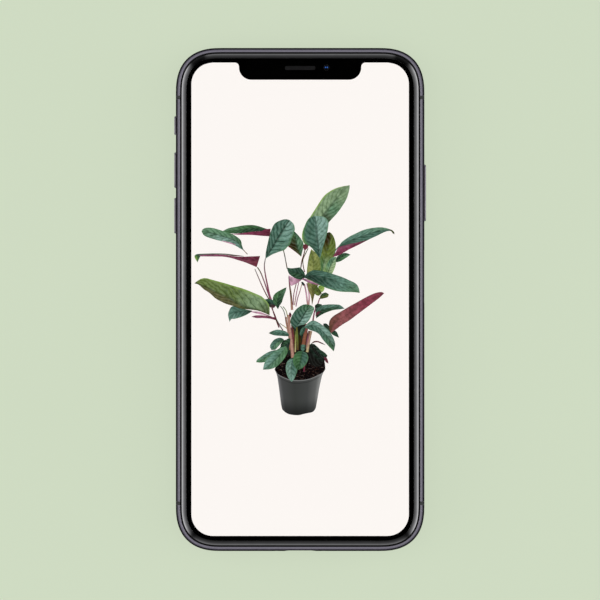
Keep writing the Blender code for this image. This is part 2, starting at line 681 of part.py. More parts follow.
def build_bottom_parts():
    box("bottom_flex", "circuit_board", FLEX)
    box("haptic_motor", "plain_steel", HAPTIC_MOTOR, 0.5)
    box("loudspeaker", "dark_plastic", LOUDSPEAKER, 0.5)
    shell = as_mesh(plate("port_shell", "plain_steel", [pill(PORT_SIZE)], PORT_LIMITS, "y", (0, PORT_Z)))
    inside_limits = (PORT_LIMITS[0] - OVERSHOOT, PORT_INSIDE_END)
    inside = plate("port_inside", None, [pill(PORT_SIZE, grow=-PORT_WALL)], inside_limits, "y", (0, PORT_Z))
    cut(shell, as_mesh(inside))
    box("port_tongue", "dark_plastic", TONGUE, 0.15)
    for side, label in ((-1, "microphone"), (1, "speaker")):
        x = sorted(side * limit for limit in MESH_X)
        box(label + "_mesh", "woven_steel", (x, MESH_Y, MESH_LEVELS))
    for side, label in ((-1, "left"), (1, "right")):
        place = (side * SCREW_X, SCREW_Y, PORT_Z)
        turned(f"bottom_screw_{label}", "plain_steel", END_SCREW_PROFILE, place, standing=False)


def main():
    build_band()
    build_glass()
    build_display()
    build_chassis()
    build_battery()
    build_logic_board()
    build_rear_cameras()
    build_front_sensors()
    build_keys()
    build_card_tray()
    build_bottom_parts()


clear_scene()
phone = collection("smartphone")
cutters = collection("cutters")
main()
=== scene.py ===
"""Looks for a dark notched smartphone that lies on its back on a pale sage table and shows a potted plant.

Sizes are in millimetres unless said otherwise, and the mesh helpers turn them into metres.
The phone's top edge points to +Y and its display faces +Z.
"""

import math

import bmesh
import bpy
from mathutils import Matrix, Vector


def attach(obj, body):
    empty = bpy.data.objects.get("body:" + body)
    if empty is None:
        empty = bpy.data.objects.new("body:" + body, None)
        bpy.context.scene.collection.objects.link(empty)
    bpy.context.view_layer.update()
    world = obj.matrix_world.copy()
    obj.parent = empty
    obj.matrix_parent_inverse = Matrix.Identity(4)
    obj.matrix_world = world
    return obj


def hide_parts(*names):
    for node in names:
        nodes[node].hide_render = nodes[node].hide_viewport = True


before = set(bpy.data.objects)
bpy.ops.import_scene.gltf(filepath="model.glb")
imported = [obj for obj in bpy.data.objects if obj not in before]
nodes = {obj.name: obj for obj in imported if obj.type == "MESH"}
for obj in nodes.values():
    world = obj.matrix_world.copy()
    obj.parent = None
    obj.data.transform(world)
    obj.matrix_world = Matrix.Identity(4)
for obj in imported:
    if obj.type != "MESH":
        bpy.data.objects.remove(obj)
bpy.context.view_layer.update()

MM = 0.001

# Body, as in the CAD
HALF_WIDTH = 35.45
HALF_LENGTH = 71.75
BACK = 1.0
FRONT = 8.7
MID = 4.85
CORNER_REACH = 13.0
CORNER_EXPONENT = 2.5
CORNER_STEPS = 28
BAND_RADIUS = 4.67
BAND_ARC_STEPS = 32
LIP_DEPTH = 1.2
WALL_DEPTH = 2.7
REAR_LEDGE = 2.0
CARRIER_LEDGE = 6.2
BREAKS = {"upper": 57.6, "lower": -58.1}
BREAK_HALF = 0.5
BREAK_GAP = 0.04
INNER_X = HALF_WIDTH - WALL_DEPTH
INNER_Y = HALF_LENGTH - WALL_DEPTH

# Glass
GLASS_INNER_Z = 7.8
REAR_INNER_Z = 1.9
FRONT_EDGE_DEPTH = 1.71
REAR_EDGE_DEPTH = 1.3
RIM_WIDTH = 1.26
RIM_INNER_SLOPE = math.radians(8)
RIM_OUTER_SLOPE = math.radians(45)
RIM_STEPS = 14
RIM_INK = 0.12
PRINT_DEPTH = 1.62
PRINT_LEVELS = (7.78, 7.79)
CARRIER_SECTION = ((1.25, 6.3), (3.8, 6.3), (3.8, 7.7), (1.46, 7.7), (1.46, 7.78), (1.25, 7.78))

# Lit area of the display, and the notch that the black border leaves for the sensors
DISPLAY_HALF_WIDTH = 31.0
DISPLAY_BOTTOM = -67.41
DISPLAY_TOP = 67.55
DISPLAY_CORNER = 6.15
NOTCH_HALF_WIDTH = 17.43
NOTCH_Y = 62.65
NOTCH_CORNER = 3.5
NOTCH_FLARE = 1.2
EAR_Y = 66.03
EAR_SLOT = (8.84, 1.27)
FRONT_CAMERA = (7.52, 66.1)
FRONT_CAMERA_WINDOW = 0.95

# Keys on the sides, each with its side, its middle along Y and its length
KEYS = {
    "side_key": (1, 30.4, 16.2),
    "volume_up_key": (-1, 36.9, 10.2),
    "volume_down_key": (-1, 23.9, 10.2),
}
KEY_HEIGHT = 2.0
KEY_PROUD = 0.45
KEY_EASING = 0.43
FLANGE_DEPTHS = (2.8, 3.2)
FLANGE_HEIGHT = 2.6
FLANGE_SPREAD = 1.4

# Mute lever, with its slot and the mark beside it
LEVER_Y = 49.6
LEVER_Z = 5.1
LEVER_SIZE = (5.4, 1.5)
LEVER_FLANGE = (6.4, 1.9)
LEVER_SLOT_Z = 4.65
LEVER_SLOT = (5.8, 2.6)
LEVER_SLOT_CORNER = 0.9
LEVER_MARK = ((-32.05, -31.92), (LEVER_Y - 2.6, LEVER_Y + 2.6), (5.0, 6.1))

# Card tray and card, with the eject hole as its place along Y and its radius, and the pads as rows along X,
# columns along Y and levels
TRAY_Y = 6.5
TRAY_DOOR = (15.0, 1.8)
TRAY_DOOR_LEVELS = (INNER_X + 0.3, HALF_WIDTH - 0.03)
TRAY_ARM = ((19.4, INNER_X + 0.9), (0.7, 11.7), (4.45, 5.25))
TRAY_POCKET = ((20.0, 32.4), (1.75, 10.65), (4.55, 6.0))
EJECT_HOLE = (12.7, 0.45)
CARD = ((20.05, 32.35), (1.8, 10.6), (4.6, 5.23))
CARD_CORNER = 0.5
CARD_NOTCH = 1.6
CARD_PADS = ((22.6, 25.1, 27.6), (3.6, 6.2, 8.8), (5.228, 5.236))
CARD_PAD_SIZE = (2.1, 2.2)

# Gap all round between an opening and what passes through it
FIT_GAP = 0.1

# Rear cameras, with the neck that goes through the rear glass
TRIM_CENTRE = (25.4, 53.0)
TRIM_SIZE = (12.0, 25.5)
NECK_SIZE = (10.9, 24.4)
NECK_HOLE = (11.2, 24.7)
TRIM_LEVELS = (0.0, 0.95)
NECK_LEVELS = (0.6, 2.45)
LENS_SPACING = 12.8
LENS_HOLE = 4.3
FLASH_HOLE = 1.5
CAMERA_HALF = 4.3
CAMERA_LEVELS = (2.6, 6.2)

# Bottom end: the charge port, the screws and the cloths behind the sound holes
PORT_Z = 4.45
PORT_SIZE = (9.0, 3.0)
PORT_WALL = 0.28
PORT_LIMITS = (-71.4, -63.6)
PORT_INSIDE = (-72.4, -64.3)
TONGUE = ((-3.35, 3.35), (-70.9, -64.4), (4.1, 4.8))
SCREW_X = 6.7
END_SCREW = (
    (0, -71.55), (0.6, -71.55), (0.8, -71.4), (0.8, -70.55), (0.6, -70.45), (0.6, -67.55), (0, -67.55),
)
SCREW_RECESS = (-72.0, -71.15)
SCREW_HOLE = 0.9
STAR_RADIUS = 0.45
PORT_PADS = {"Count": 12, "Pitch": 0.5 * MM, "Width": 0.28 * MM, "Length": 3.6 * MM, "Height": 0.03 * MM}
PORT_PADS_START = (-2.75, -68.7)
SOUND_CLOTH = {"Wires along X": 6, "Wires along Y": 39, "Pitch": 0.3 * MM, "Wire radius": 0.06 * MM}
SOUND_CLOTH_INSET = 0.1
SOUND_CLOTH_START = (-68.83, 3.55)
SOUND_CLOTH_BACKING = ((-68.7, -68.65), (3.5, 5.4))
SOUND_CLOTHS = {"microphone": -21.6, "speaker": 9.6}
SOUND_CLOTH_LENGTH = 12

# The first sound hole's distance from the middle, their pitch, their number on each side and their radius
SOUND_HOLES = (10.6, 2.0, 6, 0.65)

# Coil under the rear glass
COIL = {"Turns": 23.0, "Inner radius": 10.8 * MM, "Outer radius": 21.25 * MM, "Wire radius": 0.2 * MM}
COIL_CENTRE = (0, -8, 2.225)

# How far a cutter reaches past what it cuts, how near points are joined, and the radius of a pill's ends as a
# share of its width
OVERSHOOT = 1.0
WELD = 0.0002
PILL_END = 0.4999

# The display's light, raised by what the cover glass takes away
DISPLAY_STRENGTH = 1.043

# How a flat outline is turned so that it faces along each axis
PLATE_TURNS = {
    "z": Matrix.Identity(4),
    "x": Matrix.Rotation(math.pi / 2, 4, "Z") @ Matrix.Rotation(math.pi / 2, 4, "X"),
    "y": Matrix.Rotation(math.pi / 2, 4, "X"),
}


# Outlines

def corner_stations(turn):
    """Points round a corner of the body, anticlockwise, with outward normals. Turn 0 is the +X +Y corner."""
    sign_x = 1 if turn in (0, 3) else -1
    sign_y = 1 if turn in (0, 1) else -1
    bend = CORNER_EXPONENT / (2 * (CORNER_EXPONENT - 1))
    stations = []
    for step in range(CORNER_STEPS + 1):
        angle = math.pi / 2 * step / CORNER_STEPS
        across, along = max(0.0, math.cos(angle)), math.sin(angle)
        parameter = math.atan2(along**bend, across**bend)
        reach_x = CORNER_REACH * max(0.0, math.cos(parameter)) ** (2 / CORNER_EXPONENT)
        reach_y = CORNER_REACH * math.sin(parameter) ** (2 / CORNER_EXPONENT)
        x = HALF_WIDTH - CORNER_REACH + reach_x
        y = HALF_LENGTH - CORNER_REACH + reach_y
        stations.append((sign_x * x, sign_y * y, sign_x * across, sign_y * along))
    if turn in (1, 3):
        stations.reverse()
    return stations


def body_stations():
    return [station for turn in range(4) for station in corner_stations(turn)]


def drawn_in(stations, depth):
    """The outline through the stations, drawn in by depth."""
    return [(x - depth * nx, y - depth * ny) for x, y, nx, ny in stations]


def arc(centre, radius, start, end, steps):
    """Points on an arc, with its angles counted in quarter turns."""
    angles = [math.pi / 2 * (start + (end - start) * step / steps) for step in range(steps + 1)]
    return [(centre[0] + radius * math.cos(a), centre[1] + radius * math.sin(a)) for a in angles]


def circle(centre, radius, count=48):
    return arc(centre, radius, 0, 4, count)[:-1]


def rounded_box(centre, size, radius, steps=8):
    """A rectangle with round corners, anticlockwise."""
    points = []
    for turn, (sign_x, sign_y) in enumerate(((1, 1), (-1, 1), (-1, -1), (1, -1))):
        x = centre[0] + sign_x * (size[0] / 2 - radius)
        y = centre[1] + sign_y * (size[1] / 2 - radius)
        points += arc((x, y), radius, turn, turn + 1, steps)
    return points


def pill(size, centre=(0, 0), grow=0.0, steps=12):
    """A rectangle with round ends, made larger all round by grow."""
    grown = (size[0] + 2 * grow, size[1] + 2 * grow)
    return rounded_box(centre, grown, min(grown) * PILL_END, steps)


def rail_section():
    """The band's section: a round outer side, and a seat for the display above and the rear glass below."""
    half_angle = math.acos(1 - LIP_DEPTH / BAND_RADIUS)
    points = []
    for step in range(BAND_ARC_STEPS + 1):
        angle = half_angle * (1 - 2 * step / BAND_ARC_STEPS)
        points.append((BAND_RADIUS * (1 - math.cos(angle)), MID + BAND_RADIUS * math.sin(angle)))
    points += [(LIP_DEPTH, REAR_LEDGE), (WALL_DEPTH, REAR_LEDGE)]
    points += [(WALL_DEPTH, CARRIER_LEDGE), (LIP_DEPTH, CARRIER_LEDGE)]
    return points


def rim_curve(edge_depth, face_level, out):
    """The glass's curved edge as (depth, level) points, from its edge in. Out is 1 in front and -1 behind."""
    radius = RIM_WIDTH / (math.sin(RIM_OUTER_SLOPE) - math.sin(RIM_INNER_SLOPE))
    points = []
    for step in range(RIM_STEPS + 1):
        slope = RIM_OUTER_SLOPE + (RIM_INNER_SLOPE - RIM_OUTER_SLOPE) * step / RIM_STEPS
        inwards = radius * (math.sin(RIM_OUTER_SLOPE) - math.sin(slope))
        drop = radius * (math.cos(RIM_INNER_SLOPE) - math.cos(slope))
        points.append((edge_depth + inwards, face_level - out * drop))
    return points


# Meshes

def cleaned(mesh):
    """Joins points that coincide, and turns the faces outwards."""
    work = bmesh.new()
    work.from_mesh(mesh)
    bmesh.ops.remove_doubles(work, verts=work.verts, dist=WELD * MM)
    bmesh.ops.recalc_face_normals(work, faces=work.faces)
    work.to_mesh(mesh)
    work.free()
    return mesh


def mesh_from(points, faces):
    """A mesh from points in millimetres."""
    mesh = bpy.data.meshes.new("shape")
    mesh.from_pydata([(x * MM, y * MM, z * MM) for x, y, z in points], [], faces)
    return cleaned(mesh)


def temporary(data):
    made = bpy.data.objects.new("temporary", data)
    bpy.context.scene.collection.objects.link(made)
    return made


def frozen(source):
    """Turns an object with its modifiers into a plain mesh, and removes the object."""
    bpy.context.view_layer.update()
    graph = bpy.context.evaluated_depsgraph_get()
    mesh = bpy.data.meshes.new_from_object(source.evaluated_get(graph), depsgraph=graph)
    bpy.data.objects.remove(source)
    return mesh


def plate(outlines, levels, facing="z", centre=(0, 0)):
    """A flat piece between two levels, in XY, or in YZ where it faces x, or in XZ where it faces y."""
    curve = bpy.data.curves.new("outline", "CURVE")
    curve.dimensions = "2D"
    for outline in outlines:
        spline = curve.splines.new("POLY")
        spline.points.add(len(outline) - 1)
        for point, (x, y) in zip(spline.points, outline):
            point.co = (x * MM, y * MM, 0, 1)
        spline.use_cyclic_u = True
    curve.fill_mode = "BOTH"
    curve.extrude = abs(levels[1] - levels[0]) / 2 * MM
    place = list(centre)
    place.insert("xyz".index(facing), sum(levels) / 2)
    mesh = frozen(temporary(curve))
    mesh.transform(Matrix.Translation([value * MM for value in place]) @ PLATE_TURNS[facing])
    return cleaned(mesh)


def section_points(stations, section):
    """The points of a section at each station in turn."""
    return [(x - depth * nx, y - depth * ny, level) for x, y, nx, ny in stations for depth, level in section]


def sweep(stations, section, closed):
    """Runs a closed section of (depth, level) points past the stations."""
    count, size = len(stations), len(section)
    faces = []
    for station in range(count if closed else count - 1):
        here, there = station * size, (station + 1) % count * size
        for index in range(size):
            after = (index + 1) % size
            faces.append((here + index, here + after, there + after, there + index))
    if not closed:
        faces.append(tuple(range(size)))
        faces.append(tuple(range((count - 1) * size, count * size)))
    return mesh_from(section_points(stations, section), faces)


def dished_sheet(stations, section):
    """A sheet whose edge follows a section, from the middle of one face round to the middle of the other."""
    count, size = len(stations), len(section)
    faces = []
    for station in range(count):
        here, there = station * size, (station + 1) % count * size
        for index in range(size - 1):
            faces.append((here + index, here + index + 1, there + index + 1, there + index))
    faces.append(tuple(range(0, count * size, size)))
    faces.append(tuple(range(size - 1, count * size, size)))
    return mesh_from(section_points(stations, section), faces)


def turned(profile, place, axis="z", count=48):
    """A turned piece from (radius, level) points. Levels run along the axis; place gives the other two."""
    points, rings = [], []
    for radius, level in profile:
        ring = []
        for across, along in circle((0, 0), radius, count) if radius > 0 else [(0, 0)]:
            point = [place[0] + across, place[1] + along]
            point.insert("xyz".index(axis), level)
            ring.append(len(points))
            points.append(point)
        rings.append(ring)
    faces = []
    for near, far in zip(rings, rings[1:]):
        for index in range(count):
            after = (index + 1) % count
            if len(near) == 1 and len(far) == 1:
                continue
            if len(near) == 1:
                faces.append((near[0], far[index], far[after]))
            elif len(far) == 1:
                faces.append((near[index], far[0], near[after]))
            else:
                faces.append((near[index], far[index], far[after], near[after]))
    return mesh_from(points, faces)


def block(limits, easing=0.0):
    """A block between its limits on X, Y and Z, with its edges eased where that is set."""
    work = bmesh.new()
    bmesh.ops.create_cube(work, size=1)
    for vertex in work.verts:
        for axis, (low, high) in enumerate(limits):
            vertex.co[axis] = ((low + high) / 2 + vertex.co[axis] * (high - low)) * MM
    if easing:
        bmesh.ops.bevel(work, geom=work.edges, offset=easing * MM, segments=3, profile=0.5, affect="EDGES")
    mesh = bpy.data.meshes.new("block")
    work.to_mesh(mesh)
    work.free()
    return mesh


def eased(mesh, width, angle=50, segments=3, clamped=True):
    """Rounds the sharp edges of a mesh."""
    source = temporary(mesh)
    rounding = source.modifiers.new("eased edges", "BEVEL")
    rounding.width = width * MM
    rounding.segments = segments
    rounding.limit_method = "ANGLE"
    rounding.angle_limit = math.radians(angle)
    rounding.use_clamp_overlap = clamped
    return frozen(source)


def combined(mesh, others, operation):
    """The union or difference of one mesh with each of the others in turn."""
    source = temporary(mesh)
    tools = [temporary(other) for other in others]
    for tool in tools:
        step = source.modifiers.new("step", "BOOLEAN")
        step.operation = operation
        step.object = tool
    result = frozen(source)
    for tool in tools:
        bpy.data.objects.remove(tool)
    return result


def cut(mesh, others):
    return combined(mesh, others, "DIFFERENCE")


def joined(mesh, others):
    return combined(mesh, others, "UNION")


def merged(meshes):
    """One mesh with the separate shells of several."""
    work = bmesh.new()
    for mesh in meshes:
        work.from_mesh(mesh)
    result = bpy.data.meshes.new("shells")
    work.to_mesh(result)
    work.free()
    return result


# Pieces

def piece(name, mesh, material, stands_for=(), body="phone", smooth=30):
    """A finished piece. Edges sharper than the smooth angle stay crisp."""
    mesh.name = name
    mesh.materials.clear()
    mesh.materials.append(material)
    mesh.shade_smooth()
    mesh.set_sharp_from_angle(angle=math.radians(smooth))
    made = bpy.data.objects.new(name, mesh)
    bpy.context.scene.collection.objects.link(made)
    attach(made, body)
    if stands_for:
        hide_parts(*stands_for)
    return made


# Materials

def linear(hex_colour):
    """An sRGB hex colour as linear RGBA."""
    channels = [int(hex_colour[i : i + 2], 16) / 255 for i in (1, 3, 5)]
    turned_linear = [c / 12.92 if c <= 0.04045 else ((c + 0.055) / 1.055) ** 2.4 for c in channels]
    return (*turned_linear, 1.0)


def add_node(tree, kind, inputs=None, **settings):
    """Adds a node with its settings, and sets or links its inputs."""
    node = tree.nodes.new(kind)
    for name, value in settings.items():
        setattr(node, name, value)
    for socket, value in (inputs or {}).items():
        if isinstance(value, bpy.types.NodeSocket):
            tree.links.new(value, node.inputs[socket])
        else:
            node.inputs[socket].default_value = value
    return node


def finish(name, **sockets):
    """A material with one Principled shader, and its node tree and shader for what is added."""
    material = bpy.data.materials.new(name)
    material.use_nodes = True
    tree = material.node_tree
    shader = tree.nodes["Principled BSDF"]
    for socket, value in sockets.items():
        shader.inputs[socket.replace("_", " ")].default_value = value
    return material, tree, shader


def grain(tree, size, detail=2.0, stretch=(1, 1, 1)):
    """Noise whose patches are about this many millimetres across."""
    place = add_node(tree, "ShaderNodeTexCoord").outputs["Object"]
    scale = tuple(1 / (size * MM * factor) for factor in stretch)
    mapping = add_node(tree, "ShaderNodeMapping", {"Vector": place, "Scale": scale})
    inputs = {"Vector": mapping.outputs["Vector"], "Scale": 1.0, "Detail": detail}
    return add_node(tree, "ShaderNodeTexNoise", inputs).outputs["Fac"]


def spread(tree, value, low, high):
    """Maps the middle of a noise's range to run from low to high."""
    inputs = {"Value": value, "From Min": 0.3, "From Max": 0.7, "To Min": low, "To Max": high}
    return add_node(tree, "ShaderNodeMapRange", inputs).outputs["Result"]


def step_between(tree, value, low, high):
    """Rises softly from 0 at the low value to 1 at the high one."""
    inputs = {"Value": value, "From Min": low, "From Max": high}
    return add_node(tree, "ShaderNodeMapRange", inputs, interpolation_type="SMOOTHSTEP").outputs[0]


def blended(tree, factor, start, end, mode="MIX"):
    """Mixes two colours, each a value or a socket."""
    mix = add_node(tree, "ShaderNodeMix", {0: factor, 6: start, 7: end}, data_type="RGBA", blend_type=mode)
    return mix.outputs[2]


def toned(tree, value, dark, light):
    """A colour that runs between two hex colours with a noise's value."""
    return blended(tree, spread(tree, value, 0.0, 1.0), linear(dark), linear(light))


def roughened(name, dark, light, rough, size, bump=0.0, stretch=(1, 1, 1), **sockets):
    """A finish whose colour and roughness vary over patches, with a fine relief where bump is set."""
    material, tree, shader = finish(name, **sockets)
    noise = grain(tree, size, 3.0, stretch)
    tree.links.new(toned(tree, noise, dark, light), shader.inputs["Base Color"])
    tree.links.new(spread(tree, noise, *rough), shader.inputs["Roughness"])
    if bump:
        relief = add_node(tree, "ShaderNodeBump", {"Height": noise, "Strength": 1.0, "Distance": bump * MM})
        tree.links.new(relief.outputs["Normal"], shader.inputs["Normal"])
    return material


def math_of(tree, operation, *values):
    """The result of a sum on values or sockets."""
    return add_node(tree, "ShaderNodeMath", dict(enumerate(values)), operation=operation).outputs[0]


def times(tree, first, second):
    return math_of(tree, "MULTIPLY", first, second)


def plus(tree, first, second):
    return math_of(tree, "ADD", first, second)


def minus(tree, first, second):
    return math_of(tree, "SUBTRACT", first, second)


def distance_from(tree, value, place):
    """How far a value is from a place, on either side."""
    return math_of(tree, "ABSOLUTE", minus(tree, value, place))


def ramp(tree, value, stops):
    """A colour ramp, given as (position, linear colour) from 0 to 1."""
    made = add_node(tree, "ShaderNodeValToRGB", {"Fac": value})
    elements = made.color_ramp.elements
    for position, _ in stops[2:]:
        elements.new(position)
    for element, (position, colour) in zip(elements, stops):
        element.position = position
        element.color = colour
    return made.outputs["Color"]


def clear_glass(name, tint, **sockets):
    """Polished clear glass that reflects where light enters it and not again where the light leaves, as when
    it's bonded to what lies behind. Lamps shine through it, so what's behind it is lit without caustics."""
    material, tree, shader = finish(name, Base_Color=linear(tint), Transmission_Weight=1.0, **sockets)
    through = add_node(tree, "ShaderNodeBsdfTransparent", {"Color": linear(tint)})
    rays = add_node(tree, "ShaderNodeLightPath")
    leaving = add_node(tree, "ShaderNodeNewGeometry").outputs["Backfacing"]
    clear = math_of(tree, "MAXIMUM", rays.outputs["Is Shadow Ray"], leaving)
    mix = add_node(tree, "ShaderNodeMixShader", {0: clear, 1: shader.outputs[0], 2: through.outputs[0]})
    tree.links.new(mix.outputs[0], tree.nodes["Material Output"].inputs["Surface"])
    return material


def lit(name):
    """Display light: a black surface that only glows, with its tree and the socket that takes the colour."""
    looks = {"Roughness": 0.5, "Specular_IOR_Level": 0.0, "Emission_Strength": DISPLAY_STRENGTH}
    material, tree, shader = finish(name, Base_Color=(0, 0, 0, 1), **looks)
    return material, tree, shader.inputs["Emission Color"]


# Stainless steel with a dark vapour-deposited coat over a fine polish: a deep grey mirror, softened a little
coated_steel = roughened(
    "coated_stainless_steel",
    "#8A8690",
    "#938F99",
    (0.2, 0.26),
    0.6,
    Metallic=1.0,
    Specular_Tint=linear("#141414"),
)

# The same steel on the keys and tray door, where fingers have polished it unevenly over a few millimetres
worn_steel = roughened(
    "handled_stainless_steel",
    "#88848E",
    "#96929C",
    (0.2, 0.28),
    4.0,
    Metallic=1.0,
    Specular_Tint=linear("#141414"),
)

# Stamped stainless steel with a rolled surface: bright, with soft streaks along the sheet
rolled_steel = roughened(
    "rolled_stainless_steel", "#A8A8A6", "#BDBCB8", (0.28, 0.42), 0.5, 0.002, (1, 12, 1), Metallic=1.0
)

# Glass-filled polymer, moulded into the breaks of the band: near black with a dull even grain
moulded_polymer = roughened("moulded_polymer", "#17171A", "#202024", (0.42, 0.55), 0.15, 0.004)

# Moulded black polymer for the display's frame and the small bodies inside: darker, slightly glossier
frame_polymer = roughened("black_frame_polymer", "#0B0B0C", "#131315", (0.35, 0.5), 0.2, 0.003)

# Mirror ink behind the glass's curved edge: a dark metallic film under a polished clear surface
mirror_ink = roughened(
    "mirror_ink_under_glass",
    "#6E6E73",
    "#747479",
    (0.1, 0.13),
    1.5,
    Metallic=1.0,
    Coat_Weight=1.0,
    Coat_Roughness=0.02,
)

# Strengthened cover glass: clear and flat, so the display shows through with only a faint reflection
cover_glass = clear_glass("strengthened_cover_glass", "#FFFFFF", IOR=1.5, Roughness=0.0)

# Black ink, screen printed in several passes: it swallows light round the display
black_print = roughened("black_screen_print", "#020202", "#040404", (0.5, 0.6), 0.4, Specular_IOR_Level=0.0)

# Rear glass, tinted through and printed black behind: deep, with a hard clear reflection
rear_tint = roughened(
    "tinted_rear_glass",
    "#101012",
    "#151517",
    (0.06, 0.09),
    2.0,
    Coat_Weight=1.0,
    Coat_Roughness=0.02,
    IOR=1.5,
)

# Sapphire lens cover: clear and hard, a little brighter in reflection than glass
lens_cover = clear_glass("sapphire_lens_cover", "#F4F6FA", IOR=1.76, Roughness=0.0)

# Multi-coated lens element: black inside with a blue and violet reflection
lens_coating, lens_tree, lens_shader = finish(
    "coated_lens_element",
    Base_Color=linear("#030409"),
    Roughness=0.03,
    IOR=1.7,
    Coat_Weight=1.0,
    Coat_IOR=1.6,
)
lens_shader.inputs["Specular Tint"].default_value = linear("#4A6CFF")
lens_fall = add_node(lens_tree, "ShaderNodeLayerWeight", {"Blend": 0.35})
lens_tree.links.new(
    blended(lens_tree, lens_fall.outputs["Facing"], linear("#0A1640"), linear("#2A0E3A")),
    lens_shader.inputs["Base Color"],
)

# The front camera's coated lens, with two soft blue glints painted on as a glow where the photograph shows
# reflections. The size gives where a painted glint ends and where it reaches its full strength.
GLINTS = ((7.2, 66.2, 7.42), (7.8, 66.2, 7.42))
GLINT_SIZE = (0.27, 0.12)
GLINT_STRENGTH = 0.8
front_painted_glint_lens, front_tree, front_shader = finish(
    "front_lens_painted_glints",
    Base_Color=linear("#03040A"),
    Roughness=0.03,
    IOR=1.7,
    Emission_Color=linear("#3B78E0"),
)
front_place = front_tree.nodes.new("ShaderNodeTexCoord").outputs["Object"]
glints = []
for glint in GLINTS:
    centre = tuple(value * MM for value in glint)
    away = add_node(front_tree, "ShaderNodeVectorMath", {0: front_place, 1: centre}, operation="DISTANCE")
    glints.append(step_between(front_tree, away.outputs["Value"], *(size * MM for size in GLINT_SIZE)))
front_tree.links.new(
    times(front_tree, plus(front_tree, *glints), GLINT_STRENGTH), front_shader.inputs["Emission Strength"]
)

# Flash lens: milky moulded polymer with a warm phosphor behind it
flash_lens = roughened("moulded_flash_lens", "#D9D2A8", "#EFE9C6", (0.2, 0.3), 0.5, Coat_Weight=0.6)

# Woven steel cloth with a black oxide coat: dark wires with small bright crowns
woven_steel = roughened("black_woven_steel", "#3A3A3C", "#4E4E52", (0.38, 0.5), 0.08, Metallic=1.0)

# Gold-plated contacts: warm and bright, rubbed where a plug wipes them
gold_plate = roughened("plated_gold_contact", "#D8A94A", "#E9C266", (0.18, 0.3), 0.3, Metallic=1.0)

# Enamelled copper wire, wound flat: warm metal under a thin clear enamel
enamelled_copper = roughened(
    "enamelled_copper_wire", "#B8683A", "#C97B49", (0.22, 0.34), 0.5, Metallic=1.0, Coat_Weight=0.5
)

# Battery pouch in a printed polymer wrap: charcoal, a little wrinkled
battery_wrap = roughened("battery_wrap_film", "#1B1B1E", "#26262A", (0.35, 0.55), 2.5, 0.03)

# Circuit board under a dark blue solder mask: satin, with the glass weave just showing
solder_mask = roughened("blue_solder_mask", "#0A1A33", "#10264A", (0.32, 0.45), 0.4, 0.004)

# Ferrite sheet in a clear film: dull charcoal with a faint crackle
ferrite_sheet = roughened("ferrite_sheet_film", "#2B2A2B", "#3A3839", (0.5, 0.7), 0.8, 0.004)

# Phone card, punched from white polymer card stock
card_stock = roughened("white_card_stock", "#E9E6DC", "#F3F1EA", (0.35, 0.45), 1.2, 0.002)

# Orange ink strip that shows beside the lever when it is moved
orange_ink = roughened("orange_marking_ink", "#E2590F", "#EE6C1E", (0.4, 0.5), 0.5)


# Geometry Nodes

def geometry_tree(name, **inputs):
    """A Geometry Nodes tree with named number inputs, and its input node."""
    tree = bpy.data.node_groups.new(name, "GeometryNodeTree")
    tree.interface.new_socket("Geometry", in_out="OUTPUT", socket_type="NodeSocketGeometry")
    for label, default in inputs.items():
        kind = "NodeSocketInt" if isinstance(default, int) else "NodeSocketFloat"
        socket = tree.interface.new_socket(label.replace("_", " "), in_out="INPUT", socket_type=kind)
        socket.default_value = default
    return tree, tree.nodes.new("NodeGroupInput").outputs


def end_tree(tree, geometry, material):
    """Makes what is instanced real, and gives it its material."""
    real = add_node(tree, "GeometryNodeRealizeInstances", {"Geometry": geometry})
    painted = add_node(
        tree, "GeometryNodeSetMaterial", {"Geometry": real.outputs["Geometry"], "Material": material}
    )
    add_node(tree, "NodeGroupOutput", {"Geometry": painted.outputs["Geometry"]})
    return tree


def grown_by(tree, values, matrix):
    """Runs a tree with these input values, and returns what it makes as a mesh placed by the matrix."""
    source = temporary(bpy.data.meshes.new("seed"))
    modifier = source.modifiers.new("tree", "NODES")
    modifier.node_group = tree
    for item in tree.interface.items_tree:
        if item.item_type == "SOCKET" and item.in_out == "INPUT":
            modifier[item.identifier] = values[item.name]
    mesh = frozen(source)
    mesh.transform(matrix)
    return mesh


def moved(tree, geometry, offset):
    return add_node(tree, "GeometryNodeSetPosition", {"Geometry": geometry, "Offset": offset}).outputs[0]


def drawn_wire(tree, path, sides, radius):
    """Runs a round wire along a path."""
    profile = add_node(tree, "GeometryNodeCurvePrimitiveCircle", {"Resolution": sides, "Radius": radius})
    inputs = {"Curve": path, "Profile Curve": profile.outputs[0], "Fill Caps": True}
    return add_node(tree, "GeometryNodeCurveToMesh", inputs).outputs[0]


def row_along_x(tree, size, instance, turn=(0, 0, 0)):
    """Copies of a mesh in a row along X, by the tree's count and pitch."""
    step = add_node(tree, "ShaderNodeCombineXYZ", {"X": size["Pitch"]})
    line = add_node(tree, "GeometryNodeMeshLine", {"Count": size["Count"], "Offset": step.outputs[0]})
    inputs = {"Points": line.outputs[0], "Instance": instance, "Rotation": turn}
    return add_node(tree, "GeometryNodeInstanceOnPoints", inputs).outputs[0]


def row_of_rods(material):
    """Round rods that lie along Y, side by side in a row along X."""
    tree, size = geometry_tree("row_of_rods", Count=6, Pitch=0.002, Radius=0.001, Length=0.01, Sides=24)
    rod = add_node(
        tree,
        "GeometryNodeMeshCylinder",
        {"Vertices": size["Sides"], "Radius": size["Radius"], "Depth": size["Length"]},
    )
    return end_tree(tree, row_along_x(tree, size, rod.outputs["Mesh"], (math.pi / 2, 0, 0)), material)


